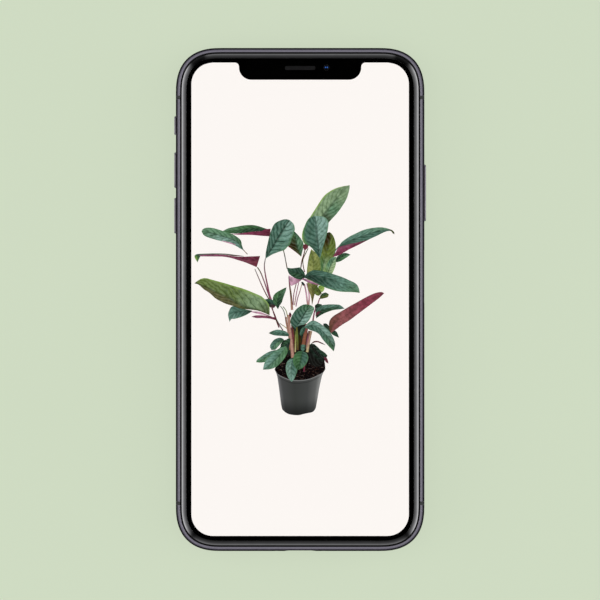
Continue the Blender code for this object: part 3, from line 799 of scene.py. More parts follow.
def row_of_pads(material):
    """Flat contact pads side by side in a row along X."""
    tree, size = geometry_tree(
        "row_of_pads", Count=12, Pitch=0.0005, Width=0.00028, Length=0.0036, Height=0.00002
    )
    sides = add_node(
        tree, "ShaderNodeCombineXYZ", {"X": size["Width"], "Y": size["Length"], "Z": size["Height"]}
    )
    pad = add_node(tree, "GeometryNodeMeshCube", {"Size": sides.outputs[0]})
    return end_tree(tree, row_along_x(tree, size, pad.outputs["Mesh"]), material)


def woven_cloth(material):
    """Plain-woven wire cloth in XY. Each wire rises over one crossing and dips under the next."""
    tree, size = geometry_tree(
        "woven_cloth", Wires_along_X=6, Wires_along_Y=40, Pitch=0.00025, Wire_radius=0.00005
    )
    both = tree.nodes.new("GeometryNodeJoinGeometry")
    counts = (size["Wires along X"], size["Wires along Y"])
    for axis in (0, 1):
        length = times(tree, counts[1 - axis], size["Pitch"])
        reach = add_node(tree, "ShaderNodeCombineXYZ", {axis: length})
        wire = add_node(tree, "GeometryNodeCurvePrimitiveLine", {"End": reach.outputs[0]})
        count = times(tree, counts[1 - axis], 4)
        fine = add_node(tree, "GeometryNodeResampleCurve", {"Curve": wire.outputs[0], "Count": count})
        step = add_node(tree, "ShaderNodeCombineXYZ", {1 - axis: size["Pitch"]})
        line = add_node(tree, "GeometryNodeMeshLine", {"Count": counts[axis], "Offset": step.outputs[0]})
        half = times(tree, size["Pitch"], 0.5)
        start = add_node(tree, "ShaderNodeCombineXYZ", {1 - axis: half})
        shifted = moved(tree, line.outputs[0], start.outputs[0])
        copies = {"Points": shifted, "Instance": fine.outputs[0]}
        wires = add_node(tree, "GeometryNodeInstanceOnPoints", copies)
        real = add_node(tree, "GeometryNodeRealizeInstances", {"Geometry": wires.outputs[0]})
        position = add_node(tree, "GeometryNodeInputPosition").outputs[0]
        place = add_node(tree, "ShaderNodeSeparateXYZ", {0: position})
        turn = math_of(tree, "DIVIDE", math.pi, size["Pitch"])
        waves = [math_of(tree, "SINE", times(tree, place.outputs[k], turn)) for k in (0, 1)]
        height = times(tree, size["Wire radius"], 1 - 2 * axis)
        lift = times(tree, times(tree, *waves), height)
        offset = add_node(tree, "ShaderNodeCombineXYZ", {"Z": lift})
        bent = moved(tree, real.outputs[0], offset.outputs[0])
        tree.links.new(drawn_wire(tree, bent, 6, size["Wire radius"]), both.inputs[0])
    return end_tree(tree, both.outputs[0], material)


def flat_winding(material):
    """Wire wound in a flat spiral."""
    tree, size = geometry_tree(
        "flat_winding", Turns=23.0, Inner_radius=0.0107, Outer_radius=0.0213, Wire_radius=0.0002
    )
    path = add_node(
        tree,
        "GeometryNodeCurveSpiral",
        {
            "Resolution": 56,
            "Rotations": size["Turns"],
            "Start Radius": size["Inner radius"],
            "End Radius": size["Outer radius"],
            "Height": 0.0,
        },
    )
    wire = drawn_wire(tree, path.outputs[0], 8, size["Wire radius"])
    return end_tree(tree, wire, material)


# Band

def side_cutter(side, y, z, outline):
    """A cutter through a long side, from an outline in Y and Z."""
    levels = sorted((side * (HALF_WIDTH + OVERSHOOT), side * (INNER_X - OVERSHOOT)))
    return plate([outline], levels, "x", (y, z))


def straight_stations(side, low, high):
    x = side * HALF_WIDTH
    ends = (low, high) if side == 1 else (high, low)
    return [(x, y, side, 0) for y in ends]


def build_band():
    section = rail_section()
    upper, lower = BREAKS["upper"], BREAKS["lower"]
    above = upper + BREAK_HALF
    corners = corner_stations(0) + corner_stations(1)
    stations = [(HALF_WIDTH, above, 1, 0), *corners, (-HALF_WIDTH, above, -1, 0)]
    piece("top_rail", sweep(stations, section, False), coated_steel, ["band_top"])

    below = lower - BREAK_HALF
    corners = corner_stations(2) + corner_stations(3)
    stations = [(-HALF_WIDTH, below, -1, 0), *corners, (HALF_WIDTH, below, 1, 0)]
    bottom = cut(sweep(stations, section, False), bottom_cutters())
    piece("bottom_rail", bottom, coated_steel, ["band_bottom"])

    lever_slot = rounded_box((0, 0), LEVER_SLOT, LEVER_SLOT_CORNER)
    left_cutters = [side_cutter(-1, LEVER_Y, LEVER_SLOT_Z, lever_slot)]
    right_cutters = [side_cutter(1, TRAY_Y, MID, pill(TRAY_DOOR, grow=FIT_GAP))]
    for side, y, length in KEYS.values():
        hole = side_cutter(side, y, MID, pill((length, KEY_HEIGHT), grow=FIT_GAP))
        (right_cutters if side == 1 else left_cutters).append(hole)
    low, high = lower + BREAK_HALF, upper - BREAK_HALF
    for side, label, cutters in ((-1, "left", left_cutters), (1, "right", right_cutters)):
        rail = cut(sweep(straight_stations(side, low, high), section, False), cutters)
        piece(label + "_rail", rail, coated_steel, ["band_" + label])
        for level, middle in BREAKS.items():
            ends = (middle - BREAK_HALF + BREAK_GAP, middle + BREAK_HALF - BREAK_GAP)
            filler = sweep(straight_stations(side, *ends), section, False)
            stands_for = f"antenna_break_{level}_{label}"
            piece(f"{level}_{label}_break", filler, moulded_polymer, [stands_for])


def bottom_cutters():
    levels = (-HALF_LENGTH - OVERSHOOT, -INNER_Y + OVERSHOOT)
    cutters = [plate([pill(PORT_SIZE, grow=FIT_GAP)], levels, "y", (0, PORT_Z))]
    first, pitch, count, radius = SOUND_HOLES
    rods = row_of_rods(moulded_polymer)
    length = levels[1] - levels[0]
    values = {"Count": count, "Radius": radius * MM, "Length": length * MM, "Sides": 24}
    for side in (-1, 1):
        values["Pitch"] = side * pitch * MM
        place = Matrix.Translation(Vector((side * first, sum(levels) / 2, PORT_Z)) * MM)
        cutters.append(grown_by(rods, values, place))
        cutters.append(plate([circle((0, 0), SCREW_HOLE, 32)], levels, "y", (side * SCREW_X, PORT_Z)))
    return cutters


# Glass, black border and the frame that carries them

def display_outline():
    """The lit area's edge, anticlockwise from the right side, with the notch in its top."""
    right, top, corner = DISPLAY_HALF_WIDTH, DISPLAY_TOP, DISPLAY_CORNER
    middle_y = (DISPLAY_TOP + DISPLAY_BOTTOM) / 2
    whole = rounded_box((0, middle_y), (2 * right, DISPLAY_TOP - DISPLAY_BOTTOM), corner, 14)
    steps = 10
    half, flare, bend = NOTCH_HALF_WIDTH, NOTCH_FLARE, NOTCH_CORNER
    notch = arc((half + flare, top - flare), flare, 1, 2, steps)
    notch += arc((half - bend, NOTCH_Y + bend), bend, 0, -1, steps)
    notch += arc((-half + bend, NOTCH_Y + bend), bend, -1, -2, steps)
    notch += arc((-half - flare, top - flare), flare, 0, 1, steps)
    corner_points = len(whole) // 4
    return whole[:corner_points] + notch + whole[corner_points:]


def under_ink(curve, inwards, down):
    """The ink's underside, moved inwards and down. The ink thins to nothing where the flat glass begins."""
    last = len(curve) - 1
    return [
        (depth + inwards, level - RIM_INK * (1 - index / last) - down)
        for index, (depth, level) in enumerate(curve)
    ]


def rim_ink_section():
    """The curved edge as a thin shell."""
    outside = rim_curve(FRONT_EDGE_DEPTH, FRONT, 1)
    inside = under_ink(outside, inwards=0.004, down=0.003)
    inside[0] = (FRONT_EDGE_DEPTH, outside[0][1] - RIM_INK)
    return outside + inside[::-1]


def build_front_glass():
    stations = body_stations()
    ink = sweep(stations, rim_ink_section(), True)
    piece("rim_ink", ink, mirror_ink, ["cover_glass"], smooth=20)

    clearance = 0.008
    curve = rim_curve(FRONT_EDGE_DEPTH, FRONT, 1)
    flat_edge = (curve[-1][0] + clearance, FRONT)
    edge = under_ink(curve, clearance, clearance)[::-1]
    section = [flat_edge, *edge, (FRONT_EDGE_DEPTH + clearance, GLASS_INNER_Z)]
    slot = plate([pill(EAR_SLOT, (0, EAR_Y))], (GLASS_INNER_Z - OVERSHOOT, FRONT + OVERSHOOT))
    pane = cut(dished_sheet(stations, section), [slot])
    piece("glass_pane", pane, cover_glass, ["cover_glass"], smooth=5)

    camera_window = circle(FRONT_CAMERA, FRONT_CAMERA_WINDOW, 32)
    ear_window = pill(EAR_SLOT, (0, EAR_Y))
    print_edge = drawn_in(stations, PRINT_DEPTH)
    border = plate([print_edge, display_outline(), camera_window, ear_window], PRINT_LEVELS)
    piece("black_border", border, black_print)

    carrier = sweep(stations, CARRIER_SECTION, True)
    piece("display_frame", carrier, frame_polymer, ["display_carrier"])


def build_rear_glass():
    curve = rim_curve(REAR_EDGE_DEPTH, BACK, -1)
    section = [*curve[::-1], (REAR_EDGE_DEPTH, REAR_INNER_Z)]
    hole = plate([pill(NECK_HOLE, TRIM_CENTRE)], (BACK - OVERSHOOT, REAR_INNER_Z + OVERSHOOT))
    sheet = cut(dished_sheet(body_stations(), section), [hole])
    piece("rear_sheet", sheet, rear_tint, ["rear_glass"], smooth=4)


# Keys, lever and card tray

def key_mesh(side, place, size, flange_size):
    """A key: a cap that goes through the band, with a wider flange behind the wall."""
    cap_levels = sorted((side * (HALF_WIDTH + KEY_PROUD), side * (HALF_WIDTH - sum(FLANGE_DEPTHS) / 2)))
    cap = eased(plate([pill(size)], cap_levels, "x", place), KEY_EASING, segments=7, clamped=False)
    flange_levels = sorted(side * (HALF_WIDTH - depth) for depth in FLANGE_DEPTHS)
    return joined(cap, [plate([pill(flange_size)], flange_levels, "x", place)])


def build_keys():
    for name, (side, y, length) in KEYS.items():
        mesh = key_mesh(side, (y, MID), (length, KEY_HEIGHT), (length + FLANGE_SPREAD, FLANGE_HEIGHT))
        piece(name + "_cap", mesh, worn_steel, [name], body=name)
    lever = key_mesh(-1, (LEVER_Y, LEVER_Z), LEVER_SIZE, LEVER_FLANGE)
    piece("mute_lever", lever, worn_steel, ["mute_switch"], body="mute_switch")
    piece("lever_mark", block(LEVER_MARK, 0.02), orange_ink)


def build_card_tray():
    door = eased(plate([pill(TRAY_DOOR)], TRAY_DOOR_LEVELS, "x", (TRAY_Y, MID)), 0.05, segments=2)
    eject_y, eject_radius = EJECT_HOLE
    through = (INNER_X - OVERSHOOT, HALF_WIDTH + OVERSHOOT)
    eject = plate([circle((0, 0), eject_radius, 24)], through, "x", (eject_y, MID))
    tray = cut(joined(door, [block(TRAY_ARM, 0.05)]), [block(TRAY_POCKET), eject])
    piece("tray", tray, worn_steel, ["card_tray"], body="card_tray")

    (left, right), (low, high), thickness = CARD
    outline = [
        (left, low + CARD_CORNER), (left + CARD_CORNER, low), (right, low), (right, high - CARD_NOTCH),
        (right - CARD_NOTCH, high), (left + CARD_CORNER, high), (left, high - CARD_CORNER),
    ]
    piece("card", plate([outline], thickness), card_stock, ["phone_card"], body="card_tray")
    rows, columns, pad_levels = CARD_PADS
    pads = [plate([rounded_box((x, y), CARD_PAD_SIZE, 0.4, 4)], pad_levels) for x in rows for y in columns]
    piece("card_contacts", merged(pads), gold_plate, body="card_tray")


# Cameras and sensors, with turned pieces as (radius, level) profiles

LENS_BARREL = (
    (0, 2.4), (1.7, 2.4), (1.75, 1.75), (2.35, 1.7), (2.4, 1.35), (3.05, 1.3), (3.1, 0.95), (3.4, 0.9),
    (3.4, 0.85), (3.8, 0.85), (3.8, 3.0), (0, 3.0),
)
LENS_ELEMENT = ((0, 1.45), (0.5, 1.49), (0.95, 1.6), (1.35, 1.8), (1.66, 2.08), (1.66, 2.38), (0, 2.38))
FRONT_BARREL = (
    (0, 6.9), (0.5, 6.9), (0.52, 7.25), (0.75, 7.3), (0.8, 7.62), (0.95, 7.65), (1.4, 7.65), (1.6, 7.45),
    (1.6, 6.2), (2.2, 6.2), (2.3, 6.1), (2.3, 5.1), (0, 5.1),
)
FRONT_ELEMENT = ((0, 7.5), (0.18, 7.47), (0.34, 7.38), (0.47, 7.22), (0.47, 6.92), (0, 6.92))
LENS_COVER = ((0, 0.15), (4.08, 0.15), (4.2, 0.27), (4.2, 0.75), (0, 0.75))
FLASH_LENS = ((0, 0.2), (0.9, 0.15), (1.3, 0.15), (1.4, 0.25), (1.4, 2.2), (0, 2.2))
EAR_BACKING = ((8.62, 1.05), (7.1, 8.3))
EAR_CLOTH = {"Wires along X": 4, "Wires along Y": 34, "Pitch": 0.25 * MM, "Wire radius": 0.045 * MM}
EAR_CLOTH_CORNER = (-4.25, EAR_Y - 0.5, 8.35)


def build_rear_cameras():
    x, y = TRIM_CENTRE
    flange = eased(plate([pill(TRIM_SIZE, TRIM_CENTRE, steps=24)], TRIM_LEVELS), 0.25, segments=4)
    through = (-OVERSHOOT, NECK_LEVELS[1] + OVERSHOOT)
    lens_places = [(label, (x, y + side * LENS_SPACING / 2)) for side, label in ((1, "wide"), (-1, "tele"))]
    bores = [plate([circle(place, LENS_HOLE, 64)], through) for _, place in lens_places]
    bores.append(plate([circle(TRIM_CENTRE, FLASH_HOLE, 32)], through))
    trim = joined(flange, [plate([pill(NECK_SIZE, TRIM_CENTRE, steps=24)], NECK_LEVELS)])
    piece("camera_surround", cut(trim, bores), coated_steel, ["camera_trim"])
    piece("flash_window", turned(FLASH_LENS, TRIM_CENTRE), flash_lens, ["flash_lens"])
    for label, place in lens_places:
        cover = turned(LENS_COVER, place, count=64)
        piece(label + "_cover", cover, lens_cover, [label + "_lens_cover"])
        sides = [(middle - CAMERA_HALF, middle + CAMERA_HALF) for middle in place]
        camera = joined(block((*sides, CAMERA_LEVELS), 0.3), [turned(LENS_BARREL, place, count=64)])
        piece(label + "_module", camera, frame_polymer, [label + "_camera"])
        piece(label + "_element", turned(LENS_ELEMENT, place, count=64), lens_coating)


def build_front_sensors():
    barrel = turned(FRONT_BARREL, FRONT_CAMERA)
    piece("front_barrel", barrel, frame_polymer, ["front_camera"])
    # The front lens element carries the two painted blue glints as a glow
    piece("front_element", turned(FRONT_ELEMENT, FRONT_CAMERA), front_painted_glint_lens)
    size, backing_levels = EAR_BACKING
    backing = plate([pill(size, (0, EAR_Y))], backing_levels)
    cloth = grown_by(woven_cloth(woven_steel), EAR_CLOTH, Matrix.Translation(Vector(EAR_CLOTH_CORNER) * MM))
    piece("ear_mesh", merged([backing, cloth]), woven_steel, ["earpiece_mesh"], smooth=60)


# Bottom end: charge port, screws and the cloth behind the sound holes

def star_recess(place, radius, levels):
    """Cutter for a screw's drive: five round lobes."""
    outline = []
    lobes, count = 5, 60
    for step in range(count):
        angle = math.tau * step / count
        reach = radius * (0.8 + 0.2 * math.cos(lobes * angle))
        outline.append((reach * math.cos(angle), reach * math.sin(angle)))
    return plate([outline], levels, "y", place)


def build_bottom_end():
    shell = plate([pill(PORT_SIZE)], PORT_LIMITS, "y", (0, PORT_Z))
    inside = plate([pill(PORT_SIZE, grow=-PORT_WALL)], PORT_INSIDE, "y", (0, PORT_Z))
    piece("port_lining", eased(cut(shell, [inside]), 0.07), rolled_steel, ["port_shell"])
    piece("port_blade", block(TONGUE, 0.15), frame_polymer, ["port_tongue"])
    pads = []
    for level in TONGUE[2]:
        place = Matrix.Translation(Vector((*PORT_PADS_START, level)) * MM)
        pads.append(grown_by(row_of_pads(gold_plate), PORT_PADS, place))
    piece("port_contacts", merged(pads), gold_plate)
    for side, label in ((-1, "left"), (1, "right")):
        place = (side * SCREW_X, PORT_Z)
        screw = cut(turned(END_SCREW, place, "y", 32), [star_recess(place, STAR_RADIUS, SCREW_RECESS)])
        piece(f"end_screw_{label}", screw, rolled_steel, ["bottom_screw_" + label])
    for label, low in SOUND_CLOTHS.items():
        corner = Vector((low + SOUND_CLOTH_INSET, *SOUND_CLOTH_START)) * MM
        place = Matrix.Translation(corner) @ Matrix.Rotation(math.pi / 2, 4, "X")
        cloth = grown_by(woven_cloth(woven_steel), SOUND_CLOTH, place)
        backing = block(((low, low + SOUND_CLOTH_LENGTH), *SOUND_CLOTH_BACKING))
        sheet = merged([backing, cloth])
        piece(label + "_cloth", sheet, woven_steel, [label + "_mesh"], smooth=60)


def build_charging_coil():
    place = Matrix.Translation(Vector(COIL_CENTRE) * MM)
    winding = grown_by(flat_winding(enamelled_copper), COIL, place)
    piece("coil_winding", winding, enamelled_copper, ["charging_coil"], smooth=60)


build_band()
build_front_glass()
build_rear_glass()
build_keys()
build_card_tray()
build_rear_cameras()
build_front_sensors()
build_bottom_end()
build_charging_coil()


# Lit display behind the glass

GROUND_Z = 7.702
GROUND_DEPTH = 4.1

# Half the width of the ground's notch, its lower edge and its corners' radius
GROUND_NOTCH = (17.1, 63.0, 3.0)


def build_display_ground():
    glow, _, colour = lit("display_light")
    colour.default_value = linear("#FCF7F3")
    stations = body_stations()
    half, bottom, radius = GROUND_NOTCH
    top = HALF_LENGTH - GROUND_DEPTH
    corner_count = CORNER_STEPS + 1
    edge = drawn_in(stations, GROUND_DEPTH)
    notch = [(half, top), *arc((half - radius, bottom + radius), radius, 0, -1, 6)]
    notch += [*arc((-half + radius, bottom + radius), radius, -1, -2, 6), (-half, top)]
    outline = edge[:corner_count] + notch + edge[corner_count:]
    sheet = bpy.data.meshes.new("display_ground")
    places = [(x * MM, y * MM, GROUND_Z * MM) for x, y in outline]
    sheet.from_pydata(places, [], [tuple(range(len(outline)))])
    piece("display_ground", sheet, glow)


build_display_ground()


# Plant picture, as flat shapes in the display's own plane

PICTURE_Z = 7.705
PICTURE_TOP = 7.772
LEAF_CELLS = (26, 10)
POT_CELLS = (16, 24)
SOIL_CELLS = (24, 10)
STEM_POINTS = 15
SQUARE = 0.8

# Leaf, stem and pot tones, as sRGB hex
TONES = {
    "silver": "#8DB0A4", "teal": "#6C9484", "sea": "#537869", "deep": "#375648", "night": "#26382F",
    "fern": "#6B9473", "leafy": "#4F7A4E", "forest": "#34553A", "sage": "#8FA982", "pale": "#A9BF8F",
    "lime": "#8DB04C", "spring": "#A9C26B", "olive": "#6F7F3C", "moss": "#4E5826", "umber": "#3B2D12",
    "bark": "#5E4528", "khaki": "#A3A765", "straw": "#C2B889", "plum": "#8E3F5C", "wine": "#6B2D3F",
    "mauve": "#AA6F92", "pink": "#D9A9C0", "rose": "#93566E", "brick": "#7E3A48", "salmon": "#BA9080",
    "tan": "#B09478", "sienna": "#8F5E48", "ash": "#6E706C", "coal": "#1B1A18",
    "grass": "#6F834B", "earth": "#6A6642", "russet": "#9A5A5C", "crimson": "#9C4459",
}

# The first leaves, which lie behind the stems
LEAVES_BEHIND = 3

# Each leaf gives the tones along its two halves, a tone and a strength for each edge, how many side veins it
# has, how dark they are and how many vein gaps they sweep back. Then come its two edges from the base to the
# tip, and its midrib where that doesn't run halfway.
LEAVES = {
    "shade_between_stems": (
        "coal night coal", "coal night coal", "coal 0", "coal 0", 2, 0.1, 1.5,
        "-3.3 -14.6, -3 -11.4, -2.6 -8.2, -2.4 -6.6",
        "2.9 -14.4, 2.5 -11.4, 1.9 -8.2, 1.2 -6.6",
    ),
    "dark_right_mass": (
        "coal night coal", "coal coal coal", "night 0.5", "coal 0.2", 5, 0.15, 2.5,
        "2.1 -13.4, 3.2 -12.6, 4.6 -13.2, 6 -14.6, 7 -16, 7 -17.6",
        "2.1 -13.6, 1.7 -15.2, 2.1 -17.2, 3.4 -18.8, 5.4 -19.2, 7 -17.6",
    ),
    "dark_left_mass": (
        "coal night coal", "coal forest coal", "night 0.4", "coal 0.2", 7, 0.3, 1.5,
        "-2.8 -16, -4.4 -15, -5.6 -13.2, -4.6 -11.6",
        "-2.8 -16, -2.4 -13.6, -2.8 -11.4, -4.6 -11.6",
    ),
    "tall_back_leaf": (
        "leafy sage sage sage", "forest forest umber fern sage sage",
        "lime 0.6", "leafy 0.4", 10, 0.5, 2.3,
        "2 15, 0.6 17, 0.8 19.8, 2.2 22.4, 4.5 26.1, 6.8 29.5, 9.1 31.2, 11.4 32.1, 14.15 32.6",
        "2 15, 5 17, 7.4 20.2, 8.2 22, 10.8 24.9, 13.1 28.4, 14 31.2, 14.15 32.6",
        "2 15, 3.6 18.5, 5.8 22.8, 8.4 26.3, 10.9 29.4, 13 31.6, 14.15 32.6",
    ),
    "olive_back_leaf": (
        "leafy leafy olive umber umber", "spring sage olive olive moss",
        "umber 0.3", "olive 0.5", 8, 0.35, 1.5,
        "6.3 6.4, 5.6 10, 5.4 12.5, 5.8 15, 6.6 17.5, 7.6 18.9, 8.3 19.25",
        "6.3 6.4, 8.3 9.5, 9.6 12, 10.1 14, 10.15 15.8, 9.7 17.6, 9 18.8, 8.3 19.25",
        "6.3 6.4, 6.6 10, 7.4 13, 8.3 15.8, 8.7 17.8, 8.3 19.25",
    ),
    "pale_green_leaf": (
        "spring fern fern", "leafy pale fern", "lime 0.4", "lime 0.5", 8, 0.6, 1.5,
        "7 6.4, 7 8.5, 7.6 10.3, 8.7 11.8, 10.3 12.2",
        "7 6.4, 8.8 7, 9.7 8.6, 10.2 10.2, 10.3 12.2",
    ),
    "straw_green_leaf": (
        "bark khaki olive", "bark olive khaki", "olive 0.6", "leafy 0.5", 14, 0.3, 1.5,
        "3.4 -1.8, 3.1 0.8, 2.4 2.6, 2.1 4.5, 1.9 7.5, 2.1 9.8, 2.5 12.2, 3.15 14.4",
        "3.4 -1.8, 4 1, 4.6 2.6, 5.3 4.6, 6 8.3, 6 10, 5.6 12, 4.4 13.4, 3.15 14.4",
        "3.4 -1.8, 3.5 1, 3.5 4, 3.7 7.5, 3.8 10, 3.6 12.5, 3.15 14.4",
    ),
    "lit_sliver": (
        "spring lime spring", "lime spring spring", "leafy 0.3", "leafy 0.3", 3, 0.3, 1.5,
        "5.3 2.6, 5.2 3.8, 6.4 3.9, 7 3.3",
        "5.3 2.6, 6.1 2.1, 6.7 2.5, 7 3.3",
    ),
    "dark_middle_leaf": (
        "moss umber leafy", "forest fern forest", "brick 0.8", "forest 0.4", 6, 0.55, 1.5,
        "0.3 12.2, -1.1 13.4, -3 14.8, -3.8 15.6, -3.2 17.4, -1.6 19.4",
        "0.3 12.2, 0.6 13.5, 1 15.2, 0.9 16.2, 0.4 17.1, -0.5 18.3, -1.6 19.4",
        "0.3 12.2, -0.7 14.5, -1.1 16.5, -1.6 19.4",
    ),
    "dark_red_base": (
        "wine brick wine", "wine brick wine", "wine 0", "wine 0", 2, 0.2, 1.5,
        "1.3 13.9, 0.8 14.9, 1 15.6, 1.7 15.8",
        "1.3 13.9, 2.1 14.6, 2.3 15.1, 1.7 15.8",
    ),
    "right_dark_leaf": (
        "night forest forest", "forest leafy fern", "forest 0.3", "fern 0.4", 5, 0.5, 1.5,
        "10.2 10.6, 10.4 12, 11.5 12.9, 12.9 13.3, 14.4 12.8",
        "10.2 10.6, 11.5 10.9, 13.3 12, 14.4 12.8",
    ),
    "right_arching_leaf": (
        "sea teal fern", "deep sea sea", "leafy 0.6", "forest 0.4", 9, 0.6, 2.4,
        "9.3 12.1, 10.2 14.5, 11 15.2, 12 16.5, 14 17.9, 16 18.9, "
        "18 19.8, 20 20.3, 22.5 20.6, 24.5 20.4, 25.8 19.9, 26.7 18.9",
        "9.3 12.1, 10.5 14.4, 11.5 15, 13 15.4, 15 15.9, 16.5 16.2, "
        "18.8 16.7, 20 17.3, 22 18.2, 24 19.2, 25.8 19.6, 26.7 18.9",
    ),
    "right_underside": (
        "plum rose wine", "plum plum wine", "plum 0.2", "wine 0.4", 8, 0.15, 1.5,
        "9.3 12.1, 10.2 13.6, 11 14.9, 13 15.5, 15 16, 16.5 16.3, 18.8 16.9",
        "9.3 12.1, 11 12.6, 13 13.7, 14 14.3, 16.5 15.5, 18.8 16.7",
    ),
    "leaf_tip_curl": (
        "coal moss coal", "coal moss coal", "coal 0", "coal 0", 2, 0.1, 1.5,
        "25.4 20.1, 26.2 19.8, 26.8 19.2, 26.9 18.6",
        "25.4 19.8, 26 19.4, 26.4 18.9, 26.9 18.6",
    ),
    "left_back_leaf": (
        "forest leafy fern", "night forest leafy", "forest 0.4", "night 0.3", 8, 0.4, 1.5,
        "-9 20, -10 20.3, -11.5 20.8, -13.2 21.2, -15.5 21.2, -18 20.8, -20.5 20.3, -22.4 19.3",
        "-9 19.9, -11 19.5, -13 19.4, -16 19, -19 18.8, -22.4 19.3",
    ),
    "left_back_underside": (
        "wine plum mauve", "wine plum pink", "plum 0.2", "rose 0.3", 6, 0.12, 1.5,
        "-8.4 20.2, -10 20, -11 19.5, -13 19.4, -16 19, -19.5 18.7, -22.6 19.3",
        "-8.6 18, -11 18.15, -14 18.4, -18.5 18.5, -22.6 19.3",
    ),
    "far_left_leaf": (
        "forest fern fern", "sea silver leafy", "leafy 0.6", "forest 0.5", 8, 0.6, 1.5,
        "-16.1 14, -16.6 15.5, -17 17, -19 18.5, -21 19.2, "
        "-22.8 19.8, -24.5 20.3, -26.2 20.5, -27.6 20.2, -28.1 19.4",
        "-16.1 14, -17 14.5, -19 15.6, -22 16.5, -25 17.3, -27.3 18.2, -28.1 19.4",
    ),
    "far_left_sliver": (
        "pink pink pink", "mauve pink pink", "pink 0", "mauve 0.2", 2, 0.05, 1.5,
        "-18.4 15.7, -20 16.3, -22.3 16.8",
        "-18.4 15.5, -20 15.9, -22.3 16.6",
    ),
    "purple_leaf": (
        "wine plum mauve", "brick rose rose", "wine 0.2", "wine 0.4", 7, 0.2, 1.5,
        "-11.4 12.4, -14 12.3, -17 12.2, -19 12.35, -21 12.7, -24 12.85, -28 12.8, -30.1 12.5",
        "-12.4 9.2, -14 9.9, -16 10.7, -18 11.3, -20 11.9, -22 12.2, -24 12.25, -29 12.3, -30.1 12.5",
    ),
    "purple_leaf_top": (
        "wine forest sea", "wine forest forest", "forest 0.4", "forest 0.2", 4, 0.2, 1.5,
        "-16 12.4, -19 12.8, -21 13.05, -24 13.15, -28 13.05, -29.6 12.9, -30.1 12.5",
        "-16 12.3, -19 12.4, -21 12.75, -24 12.85, -28 12.75, -30.1 12.4",
    ),
    "hanging_tip": (
        "leafy lime leafy", "forest leafy leafy", "leafy 0", "forest 0", 2, 0.2, 1.5,
        "-30 12.7, -30.1 12.1, -29.7 11.3, -29.2 10.6",
        "-28.4 12.5, -28.7 11.8, -29 11.2, -29.2 10.6",
    ),
    "left_middle_leaf": (
        "deep sea sea", "sea teal silver", "forest 0.6", "leafy 0.6", 8, 0.8, 1.5,
        "-9.9 11.6, -9.8 13.4, -9.3 15.8, -8.8 18, -8.1 20.1, -7.2 21.7, -5.5 22.6, -4 22.9, -2.9 22.6",
        "-9.9 11.6, -9 12.2, -7.8 12.9, -6 13.6, -4.5 14.1, -3.7 14.9, -3 15.6, "
        "-2.6 16.6, -2.3 17.8, -1.7 19.2, -1.5 20.3, -1.9 21.6, -2.9 22.6",
        "-9.9 11.6, -8.3 14.2, -6.6 17.2, -5.1 19.6, -4.1 21.2, -2.9 22.6",
    ),
    "centre_front_leaf": (
        "deep sea sea", "sea silver silver", "leafy 0.8", "leafy 0.5", 9, 0.55, 1.5,
        "5.5 11.9, 4.5 13.2, 3.5 14.5, 2.6 15.3, 1.5 16.4, "
        "0.95 17.8, 0.9 19.5, 1.3 21, 2.2 22.8, 3 23.5, 4.3 23.8",
        "5.5 11.9, 5.9 12.4, 6.4 14.5, 7 16.5, 7.6 18.5, "
        "7.9 20, 8.1 21.5, 7.9 22.6, 7 23.5, 5.6 23.8, 4.3 23.8",
        "5.5 11.9, 5.2 15, 4.8 18.5, 4.5 21, 4.3 23.8",
    ),
    "small_dark_leaf": (
        "forest deep forest", "night forest deep", "deep 0.3", "night 0.4", 6, 0.4, 1.5,
        "1.4 7.2, 0.9 8.2, 0 9.1, -1 9.05, -2.5 8.9, -3.8 9.1",
        "1.4 7, 1.3 6.2, 0.3 5.6, -0.8 5.8, -2 6.4, -3.2 7.4, -3.8 9.1",
    ),
    "small_underside": (
        "rose pink pink", "mauve pink mauve", "mauve 0.3", "rose 0.3", 3, 0.1, 1.5,
        "0.4 5.6, -1 5.9, -2.2 6.4, -3.3 6.9",
        "0.2 5.4, -0.9 4.6, -2 4.1, -2.6 3.9, -3 5, -3.3 6.9",
    ),
    "right_teal_leaf": (
        "deep sea teal fern", "night deep teal leafy", "forest 0.4", "leafy 0.8", 8, 0.45, 2.6,
        "1.1 6.4, 2 7.5, 3.5 8.3, 5 8.35, 7 8, 9 7.4, 12 6.4, 14 5.5, 15.5 4.8, 16.4 4, 16.8 3, 17 1.9",
        "1.1 6.2, 2.2 5.8, 3.5 5.2, 5 4.3, 6 3.9, 8 3.1, 10 2.5, 12 2.2, 15 2.1, 17 1.9",
        "1.1 6.3, 3.5 6.8, 7 6.3, 11 4.9, 14.5 3.4, 17 1.9",
    ),
    "right_teal_underside": (
        "mauve pink mauve", "rose mauve rose", "pink 0", "mauve 0.3", 3, 0.1, 1.5,
        "0.6 6.1, 2.2 5.7, 3.6 5.1, 5.6 4.1",
        "0.6 5.7, 1.6 5.2, 3 4.6, 5.6 4",
    ),
    "shadow_bud": (
        "night coal night", "coal night coal", "coal 0", "coal 0", 2, 0.1, 1.5,
        "0.3 5, 0.8 5, 1.3 4.4",
        "0.3 4.9, 0.6 4.2, 1 3.9, 1.3 4.4",
    ),
    "small_olive_leaf": (
        "moss moss olive", "moss olive olive", "umber 0.4", "moss 0.3", 3, 0.4, 1.5,
        "6.2 1.8, 5.5 2.9, 4.7 3.7, 4.1 2.8",
        "6.2 1.8, 5.4 1.1, 4.7 1.2, 4.1 1.8, 4.1 2.8",
    ),
    "small_olive_leaf_low": (
        "moss forest moss", "moss moss olive", "umber 0.3", "umber 0.4", 3, 0.4, 1.5,
        "5.7 1.1, 6.3 1.7, 7.3 2, 8.2 1.5",
        "5.7 1, 5.7 0.2, 7 0.4, 7.9 0.7, 8.2 1.5",
    ),
    "left_silver_leaf": (
        "forest sea teal", "night sea silver", "deep 0.3", "leafy 0.5", 6, 0.5, 1.5,
